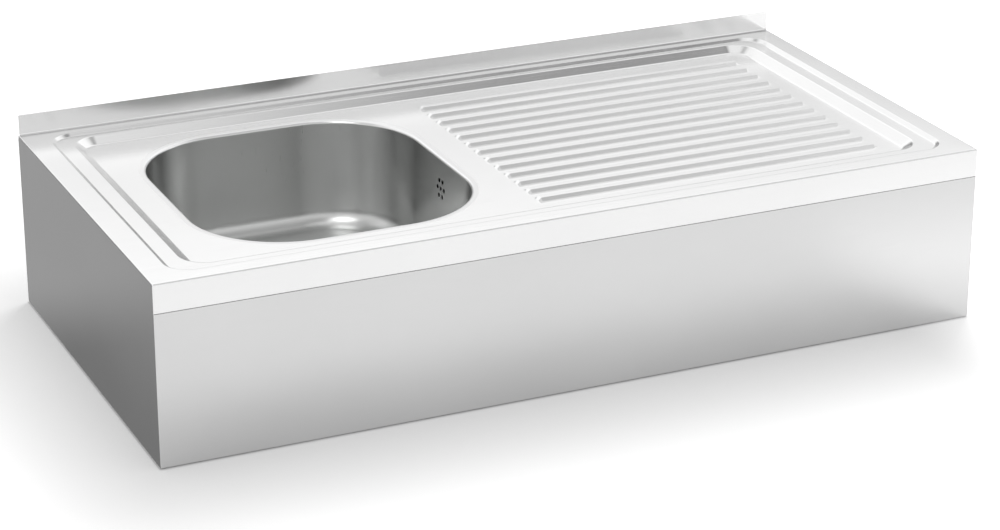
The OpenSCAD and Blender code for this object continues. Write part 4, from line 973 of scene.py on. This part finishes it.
def studio_world(studio):
    """A white backdrop to the camera and plain light on matt surfaces. Metal sees a room: its back wall
    is dark near the horizon and bright above, its front is white, and its grey ceiling has a window and
    soft patches."""
    world = bpy.data.worlds.new("studio")
    bpy.context.scene.world = world
    world.use_nodes = True
    nodes = Nodes(world.node_tree)
    direction = nodes.add("ShaderNodeTexCoord").outputs["Generated"]
    x, y, z = nodes.parts(direction)
    height = nodes.ranged(z, LOWEST_UP, 1.0, 0, 1)
    back = nodes.times(ramp(nodes, height, BACK_WALL), nodes.ranged(x, *LEFT_SPAN, LEFT_SHARE, 1.0))
    front = nodes.plus(ramp(nodes, height, FRONT_WALL), window(nodes, x, y))
    room = nodes.between(front, back, nodes.ranged(y, *BACK_SPAN, 0, 1, smooth=True))
    for patch in PATCHES:
        room = nodes.plus(room, soft_patch(nodes, direction, *patch))
    direct, metal = seen_directly(nodes)
    backdrop = nodes.plus(1.0, nodes.times(metal, nodes.combine("SUBTRACT", room, 1.0)))
    strength = nodes.between(studio.world, backdrop, direct)
    light = nodes.add("ShaderNodeBackground", {"Color": WHITE, "Strength": strength})
    nodes.fill(world.node_tree.nodes["World Output"], {0: light.outputs[0]})


def key_lamp(power):
    """A wide soft lamp above, behind the sink and to its right, which doesn't show in metal."""
    lamp = bpy.data.lights.new("key_lamp", "AREA")
    lamp.size = LAMP_SIZE
    lamp.energy = power
    made = bpy.data.objects.new("key_lamp", lamp)
    bpy.context.scene.collection.objects.link(made)
    made.location = LAMP_AT
    made.rotation_euler = (Vector(LAMP_AIM) - Vector(LAMP_AT)).to_track_quat("-Z", "Y").to_euler()
    made.visible_glossy = False


def flat_prop(name, low, high, z):
    """A level rectangle at a height, for the floor and the cards."""
    (x0, y0), (x1, y1) = low, high
    points = np.array([(x0, y0, z), (x1, y0, z), (x1, y1, z), (x0, y1, z)], float)
    piece = mesh_object(name, points, np.array([[0, 1, 2, 3]]))
    return piece


def studio_floor(studio):
    """A wide pale floor just under the skirt's lower edge, white to the camera beyond the shadow and clear to
    it from below. Its glow is weaker near the skirt and dips within a few millimetres of it, a painted shadow
    over the cast one, and is raised on the right, a painted pool of light; in metal it also fades before the
    skirt's front, as painted shade. In metal its far part is dark, as the end of a studio's floor is."""
    floor = flat_prop("studio_floor", [-FLOOR_HALF] * 2, [FLOOR_HALF] * 2, -FLOOR_DROP)
    material, nodes, shader, place = surface_material("floor_paint")
    direct, metal = seen_directly(nodes)
    end = nodes.ranged(nodes.measure("LENGTH", place), *FLOOR_END, 0, FLOOR_END_LOSS, smooth=True)
    kept = nodes.rest(nodes.times(metal, end))
    dusty = nodes.tint(studio.floor, 0.005, nodes.noise(place, 6, 3.0, 0.5))
    paint = nodes.add("ShaderNodeVectorMath", {0: dusty, "Scale": kept}, operation="SCALE").outputs[0]
    apart = nodes.vector("SUBTRACT", nodes.vector("ABSOLUTE", place), (SHEET[1][0], SHEET[1][1], 1))
    away = nodes.measure("LENGTH", nodes.vector("MULTIPLY", nodes.vector("MAXIMUM", apart), SHADOW_SQUEEZE))
    # Painted shadow: the glow grows from beside the skirt to a quarter metre off
    glow = nodes.ranged(away, 0.0, GLOW_REACH, studio.glow_near, studio.glow_far)
    # Painted contact shadow within a few millimetres of the skirt
    glow = nodes.times(glow, nodes.ranged(away, 0.0, CONTACT_SHADOW_REACH, CONTACT_SHADOW_LEVEL, 1, smooth=True))
    x, y, _ = nodes.parts(place)
    # Painted light: more glow on the right; painted shade in metal: less glow before the skirt's front
    side = nodes.ranged(x, *(SHEET[1][0] + s for s in SIDE_SPAN), 0, SIDE_GLOW, smooth=True)
    lost = nodes.times(metal, nodes.ranged(y, *(SHEET[0][1] + s for s in FRONT_LOSS_SPAN), 1, 0.2))
    glow = nodes.times(nodes.plus(glow, nodes.times(side, nodes.rest(lost))), kept)
    nodes.fill(shader, {"Roughness": 0.9, "Specular IOR Level": 0.0, "Base Color": paint,
                        "Emission Color": WHITE, "Emission Strength": nodes.times(direct, glow)})
    below = nodes.times(nodes.add("ShaderNodeNewGeometry").outputs["Backfacing"],
                        nodes.add("ShaderNodeLightPath").outputs["Is Camera Ray"])
    clear = nodes.add("ShaderNodeBsdfTransparent").outputs[0]
    both = nodes.add("ShaderNodeMixShader", {0: below, 1: shader.outputs[0], 2: clear})
    nodes.fill(material.node_tree.nodes["Material Output"], {0: both.outputs[0]})
    floor.data.materials.append(material)


def shade_card(name, near, far):
    """A grey card on the floor beside a side panel, which only metal sees: painted shade of the floor there,
    darkest beside the panel toward the front.
    """
    card = flat_prop(name, (min(near, far), SHEET[0][1]), (max(near, far), CARD_BACK), CARD_Z)
    material, nodes, shader, place = surface_material(name + "_paint")
    x, y, _ = nodes.parts(place)
    # Painted shade: darkest beside the panel toward the front, lighter behind it and further aside
    behind = nodes.ranged(y, *CARD_SPAN, 0, 1, smooth=True)
    aside = nodes.ranged(nodes.combine("ABSOLUTE", x), *(abs(near) + s for s in CARD_ASIDE_SPAN),
                         0, CARD_ASIDE, smooth=True)
    level = nodes.plus(nodes.ranged(behind, 0, 1, CARD_NEAR, CARD_FAR),
                       nodes.times(aside, nodes.rest(behind)))
    nodes.fill(shader, {"Base Color": (0, 0, 0, 1), "Specular IOR Level": 0.0, "Emission Color": WHITE,
                        "Emission Strength": level})
    card.data.materials.append(material)
    card.visible_camera = card.visible_diffuse = card.visible_shadow = card.visible_transmission = False


class SINK_OT_stage(bpy.types.Operator):
    """Sets up the pale floor, the soft light, the world and the camera"""

    bl_idname = "sink.stage"
    bl_label = "Studio"

    def execute(self, context):
        scene, studio = context.scene, context.scene.sink_studio
        scene.view_settings.view_transform = "Standard"
        lens = bpy.data.cameras.new("camera")
        lens.lens = studio.lens
        lens.sensor_width = 36.0
        camera = bpy.data.objects.new("camera", lens)
        scene.collection.objects.link(camera)
        turn = Matrix((CAMERA_RIGHT, CAMERA_UP, CAMERA_BACK)).transposed().to_4x4()
        camera.matrix_world = Matrix.Translation(CAMERA_AT) @ turn
        scene.camera = camera
        studio_world(studio)
        key_lamp(studio.key)
        studio_floor(studio)
        shade_card("left_shade_card", SHEET[0][0] - 1 * MM, -CARD_REACH)
        shade_card("right_shade_card", SHEET[1][0] + 1 * MM, CARD_REACH)
        return {"FINISHED"}


class SINK_PT_panel(bpy.types.Panel):
    """Lists the sink's pieces and their sizes"""

    bl_label = "Sink"
    bl_idname = "SINK_PT_panel"
    bl_space_type = "VIEW_3D"
    bl_region_type = "UI"
    bl_category = "Sink"

    def draw(self, context):
        layout = self.layout
        for operator in OPERATORS:
            layout.operator(operator.bl_idname, text=operator.bl_label)
        for name in GROUPS:
            group = getattr(context.scene, name)
            box = layout.box()
            for key in group.bl_rna.properties.keys():
                if key not in {"rna_type", "name"}:
                    box.prop(group, key)


OPERATORS = [SINK_OT_stage, SINK_OT_worktop, SINK_OT_bowl, SINK_OT_skirt, SINK_OT_hose, SINK_OT_fittings]
GROUPS = {
    "sink_worktop": SinkWorktopSizes,
    "sink_drainer": SinkDrainerSizes,
    "sink_bowl": SinkBowlSizes,
    "sink_hose": SinkHoseSizes,
    "sink_finishes": SinkFinishes,
    "sink_studio": SinkStudio,
}


def register():
    for made in [*GROUPS.values(), *OPERATORS, SINK_PT_panel]:
        bpy.utils.register_class(made)
    for name, group in GROUPS.items():
        setattr(bpy.types.Scene, name, PointerProperty(type=group))


def unregister():
    for name in GROUPS:
        delattr(bpy.types.Scene, name)
    for made in reversed([*GROUPS.values(), *OPERATORS, SINK_PT_panel]):
        bpy.utils.unregister_class(made)


def main():
    """Registers the add-on's classes and builds everything in order."""
    register()
    for operator in OPERATORS:
        category, name = operator.bl_idname.split(".")
        getattr(getattr(bpy.ops, category), name)()


if __name__ == "__main__":
    main()
